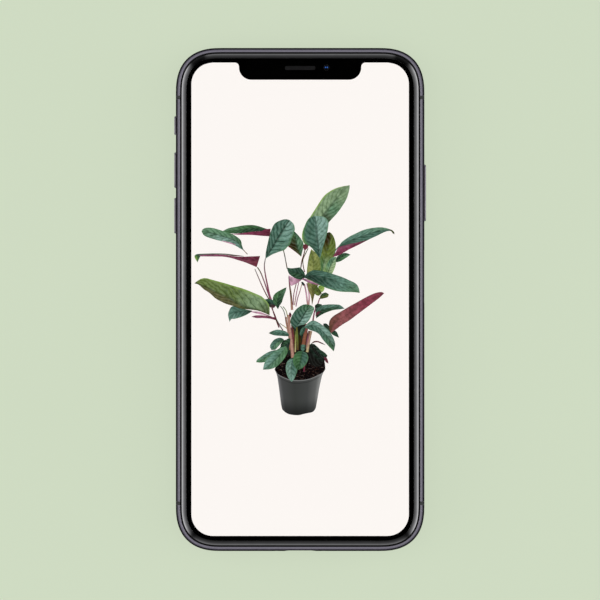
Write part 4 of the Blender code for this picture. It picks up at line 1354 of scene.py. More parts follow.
        "-13.7 -3.2, -16 -2.7, -19.2 -1.9, -20.2 -3.1, -20.55 -4.5, -20.1 -6.4",
        "-13.7 -3.4, -15 -4.2, -16.5 -4.9, -18.5 -5.5, -19.6 -5.6, -20.1 -6.4",
        "-13.7 -3.3, -16.2 -3.4, -18.6 -3.9, -20.1 -6.4",
    ),
    "left_pink_strip": (
        "rose pink mauve", "rose pink pink", "pink 0", "mauve 0.2", 3, 0.1, 1.5,
        "-8 -4.9, -10 -4.1, -11.6 -3.5, -14 -3.4",
        "-8 -5.1, -10 -4.5, -12 -4.1, -14 -3.6",
    ),
    "left_pink_leaf": (
        "wine plum rose", "wine rose rose", "plum 0.2", "rose 0.3", 4, 0.12, 1.5,
        "-7 -5.1, -8.5 -4.9, -10 -4.6, -12.4 -4.5, -13.9 -4.9",
        "-7 -5.9, -8.5 -5.5, -10.5 -5.3, -12.4 -5.3, -13.9 -4.9",
    ),
    "teal_bud_leaf": (
        "night deep forest", "wine night deep", "forest 0.2", "wine 0.6", 3, 0.3, 1.5,
        "-7 -1.6, -7.8 -0.2, -9 0.2, -10.2 0",
        "-7 -1.9, -7.6 -2.4, -8.9 -2, -10.2 0",
    ),
    "dark_upright_leaf": (
        "forest leafy forest", "night forest fern", "leafy 0.3", "forest 0.5", 6, 0.45, 1.5,
        "-6.3 -2.8, -7.1 -1.6, -7.7 -0.6, -7.8 0.4, -7.4 1.4, -6.5 2.2, -5 3, -3.9 3.5",
        "-6.3 -2.8, -5.8 -1.7, -5.2 -0.8, -4.9 0.2, -4.4 1.6, -4 2.8, -3.9 3.5",
    ),
    "big_left_leaf": (
        "moss sage grass grass olive", "earth moss earth earth moss",
        "lime 0.5", "umber 0.6", 8, 0.5, 2.4,
        "-8.7 -4.5, -8.7 -2.5, -9 -1.2, -10 0, -11 0.9, -13 1.8, -16 3, "
        "-19 3.9, -22 4.8, -25 5.6, -26.8 6.1, -28 6, -29 5.5, -30.2 4.6",
        "-8.7 -4.5, -10 -3.9, -11 -3.5, -12.5 -3.1, -15 -2.8, -17 -2.6, -19 -1.9, -21 -1.3, "
        "-22.5 -0.6, -24 0.2, -25 1.1, -26 2, -27.5 2.9, -28.2 3.6, -29 4.3, -30.2 4.6",
        "-8.7 -4.5, -11 -3.3, -15 -2.4, -18 -1.2, -20.5 0.5, -24 2, -26.9 3.6, -29.2 4.5, -30.2 4.6",
    ),
    "right_lower_leaf": (
        "deep teal sea", "night forest sea", "forest 0.4", "leafy 0.4", 6, 0.5, 1.5,
        "4.3 -2.6, 6 -1.7, 8 -1.4, 10 -1.4, 11.4 -1.6, 12.7 -2.6",
        "4.6 -5.4, 5.4 -4.8, 6.6 -4.1, 8 -3.5, 9.6 -3, 11.4 -2.8, 12.7 -2.6",
    ),
    "right_lower_shade": (
        "wine wine night", "brick wine night", "wine 0", "wine 0", 2, 0.2, 1.5,
        "4.4 -4.4, 4.8 -3.6, 6.2 -3.2",
        "4.4 -4.8, 5 -4.4, 6.2 -3.2",
    ),
    "dark_tendril_leaf": (
        "night forest night", "coal night forest", "night 0.2", "night 0.2", 3, 0.2, 1.5,
        "4.2 -1.7, 5 -1.2, 6.2 -1.4",
        "4.2 -2.5, 5 -2.3, 6.2 -1.7",
    ),
    "dark_behind_arch": (
        "night night forest", "night forest night", "coal 0.2", "coal 0.2", 4, 0.3, 1.5,
        "6.6 -6.9, 7.6 -6.9, 9 -8.4, 10.4 -9.2, 11.1 -10.9",
        "6.6 -7.4, 8.4 -9.2, 9.2 -10, 10.1 -10.5, 11.1 -10.9",
    ),
    "long_wine_leaf": (
        "bark russet crimson brick", "russet russet crimson brick", "umber 0.5", "wine 0.5", 2, 0.2, 7,
        "8.7 -9.5, 8.3 -8.4, 8.2 -7, 8.5 -5.8, 9.5 -4.7, 11 -3.8, 12.5 -2.9, "
        "14 -2, 16 -0.9, 18.5 0.5, 20.5 1.5, 22 2, 23.3 2.15, 24 1.8",
        "8.7 -9.6, 10 -8.7, 12 -7.2, 14 -6, 16 -4.5, 18 -3, 20 -1.5, 22 0, 23.3 1.1, 24 1.8",
    ),
    "low_brown_leaf": (
        "umber wine umber", "umber brick umber", "umber 0.2", "umber 0.2", 3, 0.2, 1.5,
        "3.2 -12.5, 3.9 -11.9, 5 -11.8, 6 -12.2, 7.2 -12.9",
        "3.2 -12.7, 4 -12.3, 5 -12.2, 6 -12.6, 7.2 -13",
    ),
    "low_right_dark": (
        "coal night forest", "coal coal night", "forest 0.4", "coal 0.2", 5, 0.3, 1.5,
        "3 -13, 4 -12.7, 5.5 -14.1, 7 -15.1, 7.8 -16",
        "3 -13.4, 3.8 -14.8, 5 -16.2, 6.2 -17, 7.3 -16.8, 7.8 -16",
    ),
    "low_right_wine": (
        "wine brick wine", "wine wine wine", "wine 0.2", "wine 0.2", 2, 0.2, 1.5,
        "6.8 -16.4, 7.7 -16.8, 8.1 -18.3",
        "6.8 -16.8, 7.3 -17.8, 8.1 -18.3",
    ),
    "centre_back_small": (
        "forest sea deep", "night deep forest", "forest 0.3", "night 0.3", 4, 0.4, 1.5,
        "1.6 -7.6, 1 -7.7, 0.2 -8.6, -0.1 -9.8, 0.2 -10.4",
        "1.6 -7.6, 1.5 -8.6, 1 -9.6, 0.2 -10.4",
    ),
    "centre_leaf": (
        "deep sea leafy", "sea silver fern", "forest 0.5", "leafy 0.5", 8, 0.8, 1.5,
        "-1.3 -8.3, -2.3 -7.6, -2.8 -6.5, -2.5 -5, -1.6 -3.4, -0.7 -2.4, 0.8 -1.5, 2 -1.4, 3.2 -1.7",
        "-1.3 -8.3, -0.9 -7.8, 0.2 -7.3, 1.5 -7, 2.5 -6, 3.3 -4.5, 4 -2.8, 3.9 -2.2, 3.2 -1.7",
        "-1.3 -8.3, 0.4 -5.6, 1.8 -3.2, 3.2 -1.7",
    ),
    "centre_red_edge": (
        "brick wine brick", "wine brick wine", "wine 0", "wine 0", 2, 0.2, 1.5,
        "-3.2 -4.2, -2.9 -3.6, -2.4 -4.4",
        "-3.2 -4.4, -2.8 -5.2, -2.4 -4.4",
    ),
    "arching_leaf": (
        "teal silver forest", "sea sea leafy", "deep 0.5", "forest 0.4", 9, 0.6, 1.5,
        "1.1 -7.9, 2 -6.9, 3 -6.2, 4 -6, 5.5 -6.7, 7 -7.8, "
        "8.3 -9, 9.2 -10.4, 9.8 -11.8, 10 -13, 9.6 -14.8",
        "1.1 -8, 2 -8.3, 3 -8.8, 4.3 -9.2, 5.5 -10, 6.3 -11.2, 7.3 -12.4, 8.6 -13.8, 9.6 -14.8",
    ),
    "left_low_leaf": (
        "sea teal forest", "deep sea forest", "forest 0.4", "forest 0.5", 6, 0.5, 1.5,
        "-3.2 -9.9, -3.9 -9.2, -5 -8.8, -6.5 -8.6, -8 -9, -9 -9.6",
        "-3.2 -10.5, -5.3 -10.4, -7.4 -10.2, -9 -9.6",
    ),
    "left_round_leaf": (
        "deep sea teal", "forest fern sea", "forest 0.5", "forest 0.5", 5, 0.5, 1.5,
        "-4.6 -11.5, -5 -11.1, -6 -10.9, -7.3 -11.4, -8.2 -12.4, -8.6 -13.4, -8.2 -14.4",
        "-4.6 -11.6, -4.9 -12, -5.6 -12.7, -6.4 -13.6, -7.1 -14.3, -8.2 -14.4",
    ),
    "left_behind_leaf": (
        "night forest night", "coal night forest", "forest 0.4", "night 0.4", 5, 0.45, 1.5,
        "-2.9 -12.6, -2.8 -11.2, -3.6 -11.2, -4.8 -12.4, -5.9 -13.9",
        "-2.9 -12.8, -3.5 -14, -4.6 -14.4, -5.9 -14.2",
    ),
    "far_low_leaf": (
        "deep teal fern", "forest fern leafy", "forest 0.5", "leafy 0.6", 6, 0.55, 1.5,
        "-6 -14.3, -8 -14.6, -9.5 -15.2, -11 -16.2, -12.3 -17.2, -12.5 -17.9",
        "-6 -14.8, -8 -16.2, -9.6 -17.6, -11 -18, -12.5 -17.9",
    ),
    "big_low_leaf": (
        "fern teal silver", "leafy fern sea", "leafy 0.5", "leafy 0.6", 7, 0.5, 1.5,
        "-4 -13.3, -5.5 -13.7, -7 -14.6, -8.5 -15.8, -9.8 -17.3, -10.3 -18.5, -10.6 -20",
        "-4 -13.4, -3.6 -14.2, -3.6 -15, -4.3 -16.5, -5.5 -18, -7 -19.3, -8.7 -19.9, -10.6 -20",
        "-4 -13.4, -5.9 -15.9, -8.3 -18.3, -10.6 -20",
    ),
    "front_tip_leaf": (
        "sea silver teal", "deep sea silver", "leafy 0.4", "leafy 0.5", 6, 0.5, 1.5,
        "-2 -16.8, -3 -17, -3.8 -18, -4.1 -19.5, -3.9 -21, -3.4 -22.3, -2.4 -23.5",
        "-2 -16.8, -1.5 -17.6, -1 -19, -0.8 -20.2, -1.2 -21.5, -1.8 -22.8, -2.4 -23.5",
        "-2 -16.8, -2.5 -19, -2.6 -21, -2.4 -23.5",
    ),
    "front_round_leaf": (
        "forest leafy forest", "deep sea leafy", "leafy 0.5", "leafy 0.6", 6, 0.4, 1.2,
        "0.7 -14.7, -0.5 -14.8, -1.5 -15.6, -2 -16.8, -1.9 -18.2, -1.3 -19.5, -0.5 -20",
        "0.7 -14.7, 1.7 -15.2, 2.3 -16.2, 2.2 -17.3, 1.5 -18.7, 0.5 -19.6, -0.5 -20",
        "0.7 -14.7, 0.2 -17.2, -0.5 -20",
    ),
    "front_small_leaf": (
        "deep teal deep", "deep sea deep", "forest 0.3", "forest 0.3", 3, 0.4, 1.5,
        "0.2 -13, 0.9 -12.8, 1.6 -13.1",
        "0.2 -13.2, 0.3 -14.4, 1.2 -14.5, 1.6 -13.1",
    ),
}

# Each stem gives its tones, its width at both ends, and points from its foot upwards
STEMS = (
    ("bark brick ash", 0.35, 0.22, "-8.7 -0.2, -9.7 1.5, -10.9 4, -12.1 6.8, -12.9 8.7"),
    ("wine rose moss", 0.4, 0.3, "-8.3 -0.4, -9.2 2, -10.2 5, -11.3 7.8, -12.2 9.2"),
    ("rose plum ash", 0.55, 0.24, "-8.3 -0.1, -8.8 1.5, -9.3 4, -9.9 7, -10.2 9.5, -9.9 11.7"),
    ("bark ash moss", 0.3, 0.26, "-3.7 8.8, -4.1 11, -4.5 13, -4.8 14.2"),
    ("ash tan ash", 0.24, 0.24, "-15 12.9, -15.6 13.5, -16.2 14.2"),
    ("salmon bark rose", 0.7, 0.3, "-2.3 -3, -2.5 0, -2.7 2, -3 4.1, -3.2 6.6"),
    ("rose rose bark", 0.3, 0.24, "-2 -1.6, -1.8 1.5, -1.1 4.6"),
    ("tan mauve rose", 0.3, 0.22, "-1.6 -1.6, -1 2, -0.4 4.9"),
    ("mauve rose tan", 0.3, 0.22, "-1.2 -2, -0.7 0.4, -0.1 2.2, 0.5 4.4"),
    ("salmon pink rose", 0.5, 0.35, "2.2 -1.9, 1.9 0.6, 1.6 2.6, 1.2 4.4"),
    ("salmon pink rose", 0.5, 0.3, "2.4 -1.8, 2.6 0.6, 2.4 2.6, 1.9 4.6"),
    ("umber wine moss", 0.3, 0.3, "0.2 9, 0.5 11, 1.1 13, 1.6 15.1"),
    ("wine moss moss", 0.28, 0.24, "1.3 7.8, 0.9 9.5, 0.8 11.3, 1.5 13, 2.3 14.6"),
    ("wine bark bark", 0.4, 0.3, "-6 -8, -7 -5.4, -7.8 -3, -7.9 -2"),
    ("rose wine wine", 0.34, 0.3, "-4.9 -8.8, -5.8 -7.4, -6.7 -5.8, -7.3 -4.2, -8.1 -2.4"),
    ("ash ash forest", 0.26, 0.22, "-5 -8.6, -6 -7, -6.8 -5.6"),
    ("khaki ash leafy", 0.26, 0.22, "-3.3 -8.7, -4 -6.8, -4.3 -4.6, -4.8 -3, -5.6 -1.9"),
    ("straw khaki leafy", 0.3, 0.22, "-3.3 -7.4, -3.6 -5, -4 -3.2, -4.9 -2"),
    ("khaki straw ash", 0.26, 0.2, "-3.4 -8.6, -4.6 -7.6, -5.8 -6.8"),
    ("bark rose rose", 0.5, 0.3, "3.5 -8, 3.7 -5.8, 4.2 -3.2, 5 -1.4, 5.6 0.4"),
    ("umber bark bark", 0.7, 0.5, "-1.6 -14.2, -1.7 -11, -2 -8.4"),
    ("straw khaki olive", 0.45, 0.3, "-1.4 -15, -1.3 -12, -1.2 -9"),
    ("bark olive bark", 0.7, 0.5, "-0.7 -14.4, -0.8 -11, -1 -8, -1.2 -6.4"),
    ("umber brick umber", 0.5, 0.4, "-1.9 -15, -2 -11, -2.3 -8, -2.5 -5.6"),
    ("coal umber coal", 0.9, 0.6, "0.2 -14.4, 0 -11.5, -0.2 -8.6"),
    ("sienna sienna brick", 1.15, 0.95, "0.9 -13.4, 1.25 -11, 1.7 -8.8, 1.9 -7"),
    ("salmon rose bark", 0.7, 0.5, "2 -14, 2.2 -11.4, 2.6 -8.9"),
    ("straw salmon tan", 0.8, 0.6, "2 -15, 2.4 -12.6, 2.8 -10.6, 3.2 -9"),
    ("sienna salmon sienna", 0.45, 0.4, "-2.9 -14.4, -3 -11.8, -3.5 -9, -3.9 -6.6, -4 -5"),
    ("salmon salmon salmon", 1.0, 0.85, "-2.1 -16.6, -2.3 -14, -2.6 -11.5, -2.9 -9, -3.2 -7.2, -3.2 -4.4"),
    ("wine brick wine", 0.5, 0.3, "1.1 -20.6, 1.2 -18.8, 1 -16.4"),
)

# Pot and soil outlines, from the top down or from left to right
POT_LEFT = "-7.3 -19.9, -6.6 -21.6, -6.2 -24, -5.8 -27, -5.4 -30, -5.1 -31.3"
POT_RIGHT = "7.2 -19.9, 6.4 -21.3, 5.9 -23.2, 5.4 -25.6, 5 -28, 4.6 -30.3"
POT_RIM = "-7.3 -19.9, -6.4 -21.2, -5 -22, -3 -22.8, -1 -23, 1 -22.9, 3 -22.5, 5 -21.6, 6.5 -20.8, 7.2 -19.9"
POT_FOOT = (
    "-5.1 -31.3, -4.2 -32.2, -2.8 -32.8, -0.5 -33, "
    "0.8 -32.7, 2.2 -32.4, 3.5 -32.1, 4.3 -31.3, 4.6 -30.3"
)
SOIL_BACK = (
    "-7.3 -19.9, -6.6 -18.6, -5.4 -16.6, -4 -14.6, -2 -13.6, "
    "0.5 -13, 3 -13, 5 -14.4, 6.6 -16.6, 7.1 -18.4, 7.2 -19.9"
)


def places_in(text):
    """The points in a text of numbers in millimetres, with a comma between points."""
    return [tuple(float(number) for number in pair.split()) for pair in text.split(",") if pair]


def smooth_path(known, count):
    """This many evenly spaced points on a smooth curve through the known ones."""
    known = [Vector(point) for point in (known[0], *known, known[-1])]
    dense = []
    for before, start, end, after in zip(known, known[1:], known[2:], known[3:]):
        for step in range(10):
            t = step / 10
            cubic = 3 * (start - end) + after - before
            square = 2 * before - 5 * start + 4 * end - after
            dense.append(start + 0.5 * t * (end - before + t * (square + t * cubic)))
    dense.append(known[-1])
    lengths = [0.0]
    for start, end in zip(dense, dense[1:]):
        lengths.append(lengths[-1] + (end - start).length)
    spaced, index = [], 0
    for step in range(count):
        wanted = lengths[-1] * step / (count - 1)
        while index < len(dense) - 2 and lengths[index + 1] < wanted:
            index += 1
        span = lengths[index + 1] - lengths[index]
        spaced.append(dense[index].lerp(dense[index + 1], (wanted - lengths[index]) / span if span else 0.0))
    return spaced


def shape_grid(edge_a, edge_b, middle, cells):
    """Points between two edges, as rows from the base to the tip."""
    along, across = cells
    near, far = smooth_path(edge_a, along + 1), smooth_path(edge_b, along + 1)
    centre = smooth_path(middle, along + 1) if middle else [a.lerp(b, 0.5) for a, b in zip(near, far)]
    rows = []
    for a, m, b in zip(near, centre, far):
        row = []
        for step in range(across + 1):
            share = 2 * step / across
            row.append(a.lerp(m, share) if share <= 1 else m.lerp(b, share - 1))
        rows.append(row)
    return rows


def tone_along(names, share):
    """The colour at a share of the way through the named tones."""
    colours = [Vector(linear(TONES[name])[:3]) for name in names.split()]
    place = share * (len(colours) - 1)
    index = min(int(place), len(colours) - 2)
    return colours[index].lerp(colours[index + 1], place - index)


def leaf_shape(tones_a, tones_b, rim_a, rim_b, veins, dark, sweep_back, edge_a, edge_b, middle=""):
    rows = shape_grid(places_in(edge_a), places_in(edge_b), places_in(middle), LEAF_CELLS)
    along, across = LEAF_CELLS
    tones, rims = [], []
    for i in range(along + 1):
        for j in range(across + 1):
            near, far = tone_along(tones_a, i / along), tone_along(tones_b, i / along)
            tones.append(near.lerp(far, 0.5) if 2 * j == across else (near if 2 * j < across else far))
            rim_name, rim_strength = (rim_a if 2 * j < across else rim_b).split()
            rims.append((*linear(TONES[rim_name])[:3], float(rim_strength)))
    return {"kind": "leaves", "rows": rows, "tones": tones, "rims": rims, "ribs": (veins, dark, sweep_back)}


def stem_shape(tones, foot_width, top_width, path):
    middle = smooth_path(places_in(path), STEM_POINTS)
    rows, colours = [], []
    steps = (-1, -0.5, 0, 0.5, 1)
    for index, place in enumerate(middle):
        ahead = middle[min(index + 1, len(middle) - 1)] - middle[max(index - 1, 0)]
        side = Vector((ahead.y, -ahead.x)).normalized()
        share = index / (len(middle) - 1)
        half = (foot_width + (top_width - foot_width) * share) / 2
        rows.append([place + side * half * step for step in steps])
        colours += [tone_along(tones, share)] * len(steps)
    return {"kind": "stems", "rows": rows, "tones": colours}


def pot_shape():
    """The pot between its rim's front edge and its foot, as rows from the rim down."""
    along, across = POT_CELLS
    left, right = smooth_path(places_in(POT_LEFT), along + 1), smooth_path(places_in(POT_RIGHT), along + 1)
    rim, foot = smooth_path(places_in(POT_RIM), across + 1), smooth_path(places_in(POT_FOOT), across + 1)
    rows = []
    for i in range(along + 1):
        down = i / along
        row = []
        for j in range(across + 1):
            share = j / across
            sides = left[i].lerp(right[i], share)
            ends = rim[j].lerp(foot[j], down)
            corners = left[0].lerp(right[0], share).lerp(left[-1].lerp(right[-1], share), down)
            row.append(sides + ends - corners)
        rows.append(row)
    return {"kind": "pot", "rows": rows}


def soil_shape():
    rows = shape_grid(places_in(SOIL_BACK), places_in(POT_RIM), None, SOIL_CELLS)
    return {"kind": "soil", "rows": rows}


def cells_under(shape):
    """The small squares that a shape touches, for finding what overlaps."""
    found = set()
    for row in shape["rows"]:
        for place in row:
            for dx in (-0.5, 0.5):
                for dy in (-0.5, 0.5):
                    found.add((round(place.x / SQUARE + dx), round(place.y / SQUARE + dy)))
    return found


def stack(shapes):
    """Gives each shape the lowest level over every earlier shape it may overlap, and returns the highest."""
    laid = []
    for shape in shapes:
        under = cells_under(shape)
        shape["level"] = 1 + max((level for level, cells in laid if cells & under), default=0)
        laid.append((shape["level"], under))
    return max(level for level, _ in laid)


def picture_mesh(shapes, step):
    """One mesh for these shapes, with tones, rims and ribs as attributes and a UV map along and across."""
    places, faces, maps, tones, rims, ribs = [], [], [], [], [], []
    for shape in shapes:
        rows = shape["rows"]
        start, width = len(places), len(rows[0])
        z = PICTURE_Z + step * shape["level"]
        for i, row in enumerate(rows):
            places += [(place.x * MM, place.y * MM, z * MM) for place in row]
            maps += [(i / (len(rows) - 1), j / (width - 1)) for j in range(width)]
        for i in range(len(rows) - 1):
            for j in range(width - 1):
                corner = start + i * width + j
                faces.append((corner, corner + 1, corner + width + 1, corner + width))
        count = len(rows) * width
        tones += shape.get("tones", [Vector((0.5, 0.5, 0.5))] * count)
        rims += shape.get("rims", [(0, 0, 0, 0)] * count)
        ribs += [shape.get("ribs", (0, 0, 0))] * count
    mesh = bpy.data.meshes.new("picture")
    mesh.from_pydata(places, [], faces)
    tone = mesh.attributes.new("tone", "FLOAT_COLOR", "POINT")
    tone.data.foreach_set("color", [value for colour in tones for value in (*colour, 1.0)])
    rim = mesh.attributes.new("rim", "FLOAT_COLOR", "POINT")
    rim.data.foreach_set("color", [value for colour in rims for value in colour])
    rib = mesh.attributes.new("ribs", "FLOAT_VECTOR", "POINT")
    rib.data.foreach_set("vector", [value for vector in ribs for value in vector])
    uv = mesh.uv_layers.new(name="shape")
    for loop in mesh.loops:
        uv.data[loop.index].uv = maps[loop.vertex_index]
    work = bmesh.new()
    work.from_mesh(mesh)
    work.normal_update()
    bmesh.ops.reverse_faces(work, faces=[face for face in work.faces if face.normal.z < 0])
    bmesh.ops.dissolve_degenerate(work, edges=work.edges, dist=0.0005 * MM)
    work.to_mesh(mesh)
    work.free()
    return mesh


def display_uv(tree):
    """How far along and across a shape a point is, and how far from the shape's middle line."""
    place = add_node(tree, "ShaderNodeUVMap", uv_map="shape")
    split = add_node(tree, "ShaderNodeSeparateXYZ", {0: place.outputs[0]})
    side = times(tree, distance_from(tree, split.outputs[1], 0.5), 2.0)
    return split.outputs[0], split.outputs[1], side


def darkened(tree, colour, factor, shade):
    """A colour multiplied by a shade as far as the factor says."""
    return blended(tree, factor, colour, shade, "MULTIPLY")


def leaf_light():
    """Leaf tones with side veins that sweep towards the tip, a dark midrib, blotches and a coloured edge."""
    material, tree, colour = lit("display_leaf_light")
    along, _, side = display_uv(tree)
    tone = add_node(tree, "ShaderNodeAttribute", attribute_name="tone").outputs["Color"]
    rim = add_node(tree, "ShaderNodeAttribute", attribute_name="rim")
    ribs = add_node(tree, "ShaderNodeAttribute", attribute_name="ribs").outputs["Vector"]
    count, dark, gaps_back = add_node(tree, "ShaderNodeSeparateXYZ", {0: ribs}).outputs
    sweep_back = times(tree, math_of(tree, "POWER", side, 1.25), gaps_back)
    wander = spread(tree, grain(tree, 2.2, 1.0), -0.22, 0.22)
    phase = plus(tree, minus(tree, times(tree, along, count), sweep_back), wander)
    off = distance_from(tree, math_of(tree, "FRACT", phase), 0.5)
    vein = step_between(tree, off, 0.13, 0.03)
    fading = minus(tree, 1.0, times(tree, step_between(tree, side, 0.45, 1.0), 0.55))
    midrib = step_between(tree, side, 0.16, 0.03)
    lines = math_of(tree, "MAXIMUM", times(tree, vein, fading), midrib)
    veined = darkened(tree, tone, times(tree, lines, dark), linear("#3F5748"))
    blotched = darkened(tree, veined, spread(tree, grain(tree, 0.9, 2.0), 0.0, 0.9), linear("#A9B2A6"))
    lift = times(tree, step_between(tree, off, 0.25, 0.5), times(tree, dark, 0.14))
    lifted = blended(tree, lift, blotched, linear("#B7CDBF"), "SCREEN")
    edge = times(tree, step_between(tree, side, 0.8, 0.97), rim.outputs["Alpha"])
    tree.links.new(blended(tree, edge, lifted, rim.outputs["Color"]), colour)
    return material


def stem_light():
    """Round stems: their tone, darker towards both sides, with faint flecks."""
    material, tree, colour = lit("display_stem_light")
    _, _, side = display_uv(tree)
    tone = add_node(tree, "ShaderNodeAttribute", attribute_name="tone").outputs["Color"]
    rounded = darkened(tree, tone, times(tree, step_between(tree, side, 0.2, 1.0), 0.6), linear("#8A8078"))
    flecked = darkened(tree, rounded, spread(tree, grain(tree, 0.5, 2.0), 0.0, 0.5), linear("#B5AAA0"))
    tree.links.new(flecked, colour)
    return material


def soil_light():
    """Damp peat: near black with scattered brown crumbs and a few fibres."""
    material, tree, colour = lit("display_soil_light")
    crumbs = step_between(tree, grain(tree, 0.45, 3.0), 0.58, 0.72)
    base = blended(tree, crumbs, linear("#0C0809"), linear("#462B1F"))
    fibres = step_between(tree, grain(tree, 0.8, 2.0, (1, 0.3, 1)), 0.6, 0.72)
    tree.links.new(blended(tree, times(tree, fibres, 0.25), base, linear("#A08C80")), colour)
    return material


# The pot's tones from its left side to its right one
POT_TONES = (
    (0.0, "#7A7A7C"), (0.04, "#6A6A6B"), (0.14, "#474848"), (0.4, "#3B3D3B"), (0.66, "#434544"),
    (0.84, "#5E5F5E"), (0.94, "#8B8C8A"), (1.0, "#77787A"),
)


def pot_light():
    """Thin black nursery pot: dark in the middle and paler at both sides, with a turned rim."""
    material, tree, colour = lit("display_pot_light")
    along, across, _ = display_uv(tree)
    body = ramp(tree, across, [(position, linear(tone)) for position, tone in POT_TONES])
    foot = darkened(tree, body, times(tree, step_between(tree, along, 0.55, 1.0), 0.85), linear("#8A8C8C"))
    lip = step_between(tree, distance_from(tree, along, 0.012), 0.03, 0.0)
    seam = step_between(tree, distance_from(tree, along, 0.1), 0.02, 0.0)
    shown = blended(tree, times(tree, lip, 0.55), foot, linear("#9A9A9A"))
    shown = darkened(tree, shown, times(tree, seam, 0.6), linear("#8E8E8E"))
    tree.links.new(shown, colour)
    return material


def build_picture():
    leaves = [leaf_shape(*leaf) for leaf in LEAVES.values()]
    stems = [stem_shape(*stem) for stem in STEMS]
    shapes = [soil_shape(), pot_shape(), *leaves[:LEAVES_BEHIND], *stems, *leaves[LEAVES_BEHIND:]]
    step = (PICTURE_TOP - PICTURE_Z) / stack(shapes)
    lights = {"soil": soil_light(), "pot": pot_light(), "stems": stem_light(), "leaves": leaf_light()}
    for kind, light in lights.items():
        mesh = picture_mesh([shape for shape in shapes if shape["kind"] == kind], step)
        piece("picture_" + kind, mesh, light)


build_picture()


# Finishes of the CAD pieces that are shown as they are

CAD_FINISHES = {
    "dark_plastic": frame_polymer,
    "display": frame_polymer,
    "plain_steel": rolled_steel,
    "battery_wrap": battery_wrap,
    "circuit_board": solder_mask,
    "copper": enamelled_copper,
    "ferrite": ferrite_sheet,
    "woven_steel": woven_steel,
    "card_plastic": card_stock,
    "graphite_steel": coated_steel,
    "cover_glass": flash_lens,
    "rear_glass": rear_tint,
    "lens_glass": lens_coating,
}


def finish_cad_pieces():
    for node in nodes.values():
        for entry in node.material_slots:
            entry.material = CAD_FINISHES[entry.material.name.split(".")[0]]


finish_cad_pieces()


# Table, light and camera

# Table, in metres
TABLE_REACH = 1.6
TABLE_Z = -1e-5

# The studio's light as (position, strength): from level to straight up, and from straight down to level
LIGHT_ABOVE = ((0.0, 2.9), (0.31, 1.5), (0.64, 0.72), (0.87, 0.36), (0.96, 0.2), (0.985, 0.04), (1.0, 0.03))
LIGHT_BELOW = ((0.0, 0.02), (0.28, 0.04), (0.45, 0.42), (0.64, 0.98), (0.85, 0.55), (1.0, 0.3))

# The strength of the soft boxes beyond the phone's top and bottom ends, and of the gaps between the boxes
FAR_BOX = 0.26
NEAR_BOX = 0.28
BETWEEN_BOXES = 0.03
TINT_ABOVE = (1, 1, 0.95, 1)
TINT_BELOW = (0.98, 0.99, 1.03, 1)

# Overhead lamp, in metres and watts
LAMP_SIZE = 2.4
LAMP_POWER = 7.0
LAMP_HEIGHT = 1.5

# The width of what the camera shows, the place that it looks at, and its lens and sensor
VIEW_WIDTH = 171.06
VIEW_CENTRE = (-0.034, -0.143)
LENS = 1200.0
SENSOR = 36.0


def build_table():
    mesh = bpy.data.meshes.new("table")
    corners = ((-1, -1), (1, -1), (1, 1), (-1, 1))
    places = [(x * TABLE_REACH, y * TABLE_REACH, TABLE_Z) for x, y in corners]
    mesh.from_pydata(places, [], [(0, 1, 2, 3)])
    material = roughened(
        "sage_light_table",
        "#757C6E",
        "#777E70",
        (0.85, 0.95),
        60.0,
        Emission_Color=linear("#CCD8C0"),
        Emission_Strength=0.875,
        Specular_IOR_Level=0.0,
    )
    mesh.materials.append(material)
    table = bpy.data.objects.new("table", mesh)
    table.visible_glossy = False
    bpy.context.scene.collection.objects.link(table)


def grey_ramp(tree, value, stops):
    """A ramp of grey levels, given as (position, level) from 0 to 1."""
    return ramp(tree, value, [(position, (level, level, level, 1)) for position, level in stops])


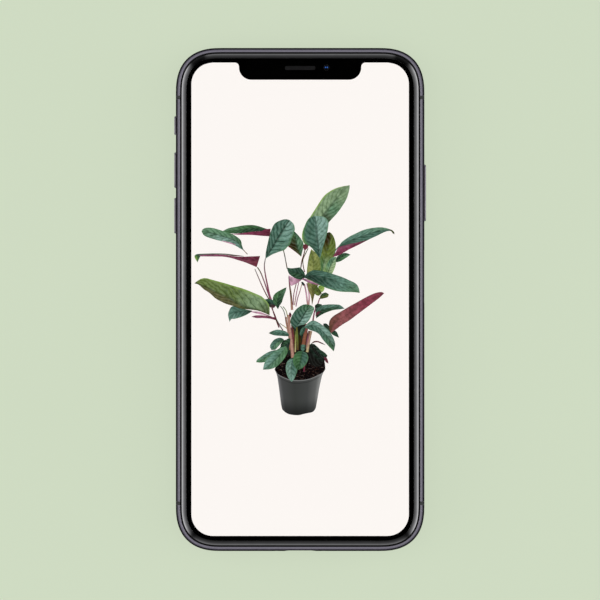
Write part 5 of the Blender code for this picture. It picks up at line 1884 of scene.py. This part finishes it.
def build_world():
    """Soft boxes to the left and right of a dark ceiling, with weaker ones at the phone's ends."""
    world = bpy.data.worlds.new("studio")
    bpy.context.scene.world = world
    world.use_nodes = True
    tree = world.node_tree
    way = add_node(tree, "ShaderNodeTexCoord").outputs["Generated"]
    x, y, z = add_node(tree, "ShaderNodeSeparateXYZ", {0: way}).outputs
    above = grey_ramp(tree, z, LIGHT_ABOVE)
    below = grey_ramp(tree, plus(tree, z, 1.0), LIGHT_BELOW)
    across = math_of(tree, "POWER", x, 2.0)
    around = plus(tree, across, plus(tree, math_of(tree, "POWER", y, 2.0), 1e-6))
    share = math_of(tree, "DIVIDE", across, around)
    sides = step_between(tree, share, 0.45, 0.85)
    far_share = step_between(tree, share, 0.09, 0.02)
    near_share = step_between(tree, share, 0.5, 0.1)
    far = times(tree, times(tree, far_share, FAR_BOX), step_between(tree, y, 0.0, 0.1))
    near = times(tree, times(tree, near_share, NEAR_BOX), step_between(tree, y, 0.0, -0.1))
    boxes = plus(tree, plus(tree, sides, BETWEEN_BOXES), plus(tree, far, near))
    upwards = step_between(tree, z, -0.05, 0.02)
    high = times(tree, times(tree, above, boxes), upwards)
    low = times(tree, below, minus(tree, 1.0, upwards))
    strength = plus(tree, high, low)
    background = tree.nodes["Background"]
    tint = blended(tree, upwards, TINT_BELOW, TINT_ABOVE)
    tree.links.new(tint, background.inputs["Color"])
    tree.links.new(strength, background.inputs["Strength"])


def build_lamp():
    """A broad soft lamp overhead. It isn't mirrored in the glass."""
    lamp = bpy.data.lights.new("overhead_soft_box", "AREA")
    lamp.shape = "SQUARE"
    lamp.size = LAMP_SIZE
    lamp.energy = LAMP_POWER
    made = bpy.data.objects.new("overhead_soft_box", lamp)
    made.location = (0, 0, LAMP_HEIGHT)
    made.visible_glossy = False
    made.visible_transmission = False
    made.visible_camera = False
    bpy.context.scene.collection.objects.link(made)


def build_camera():
    """Straight above the phone, far enough off that its sides stay hidden as in the photograph."""
    data = bpy.data.cameras.new("camera")
    data.lens = LENS
    data.sensor_width = SENSOR
    data.clip_end = 20.0
    camera = bpy.data.objects.new("camera", data)
    camera.location = Vector((*VIEW_CENTRE, FRONT + VIEW_WIDTH * LENS / SENSOR)) * MM
    bpy.context.scene.collection.objects.link(camera)
    bpy.context.scene.camera = camera


build_table()
build_world()
build_lamp()
build_camera()
bpy.context.scene.view_settings.view_transform = "Standard"
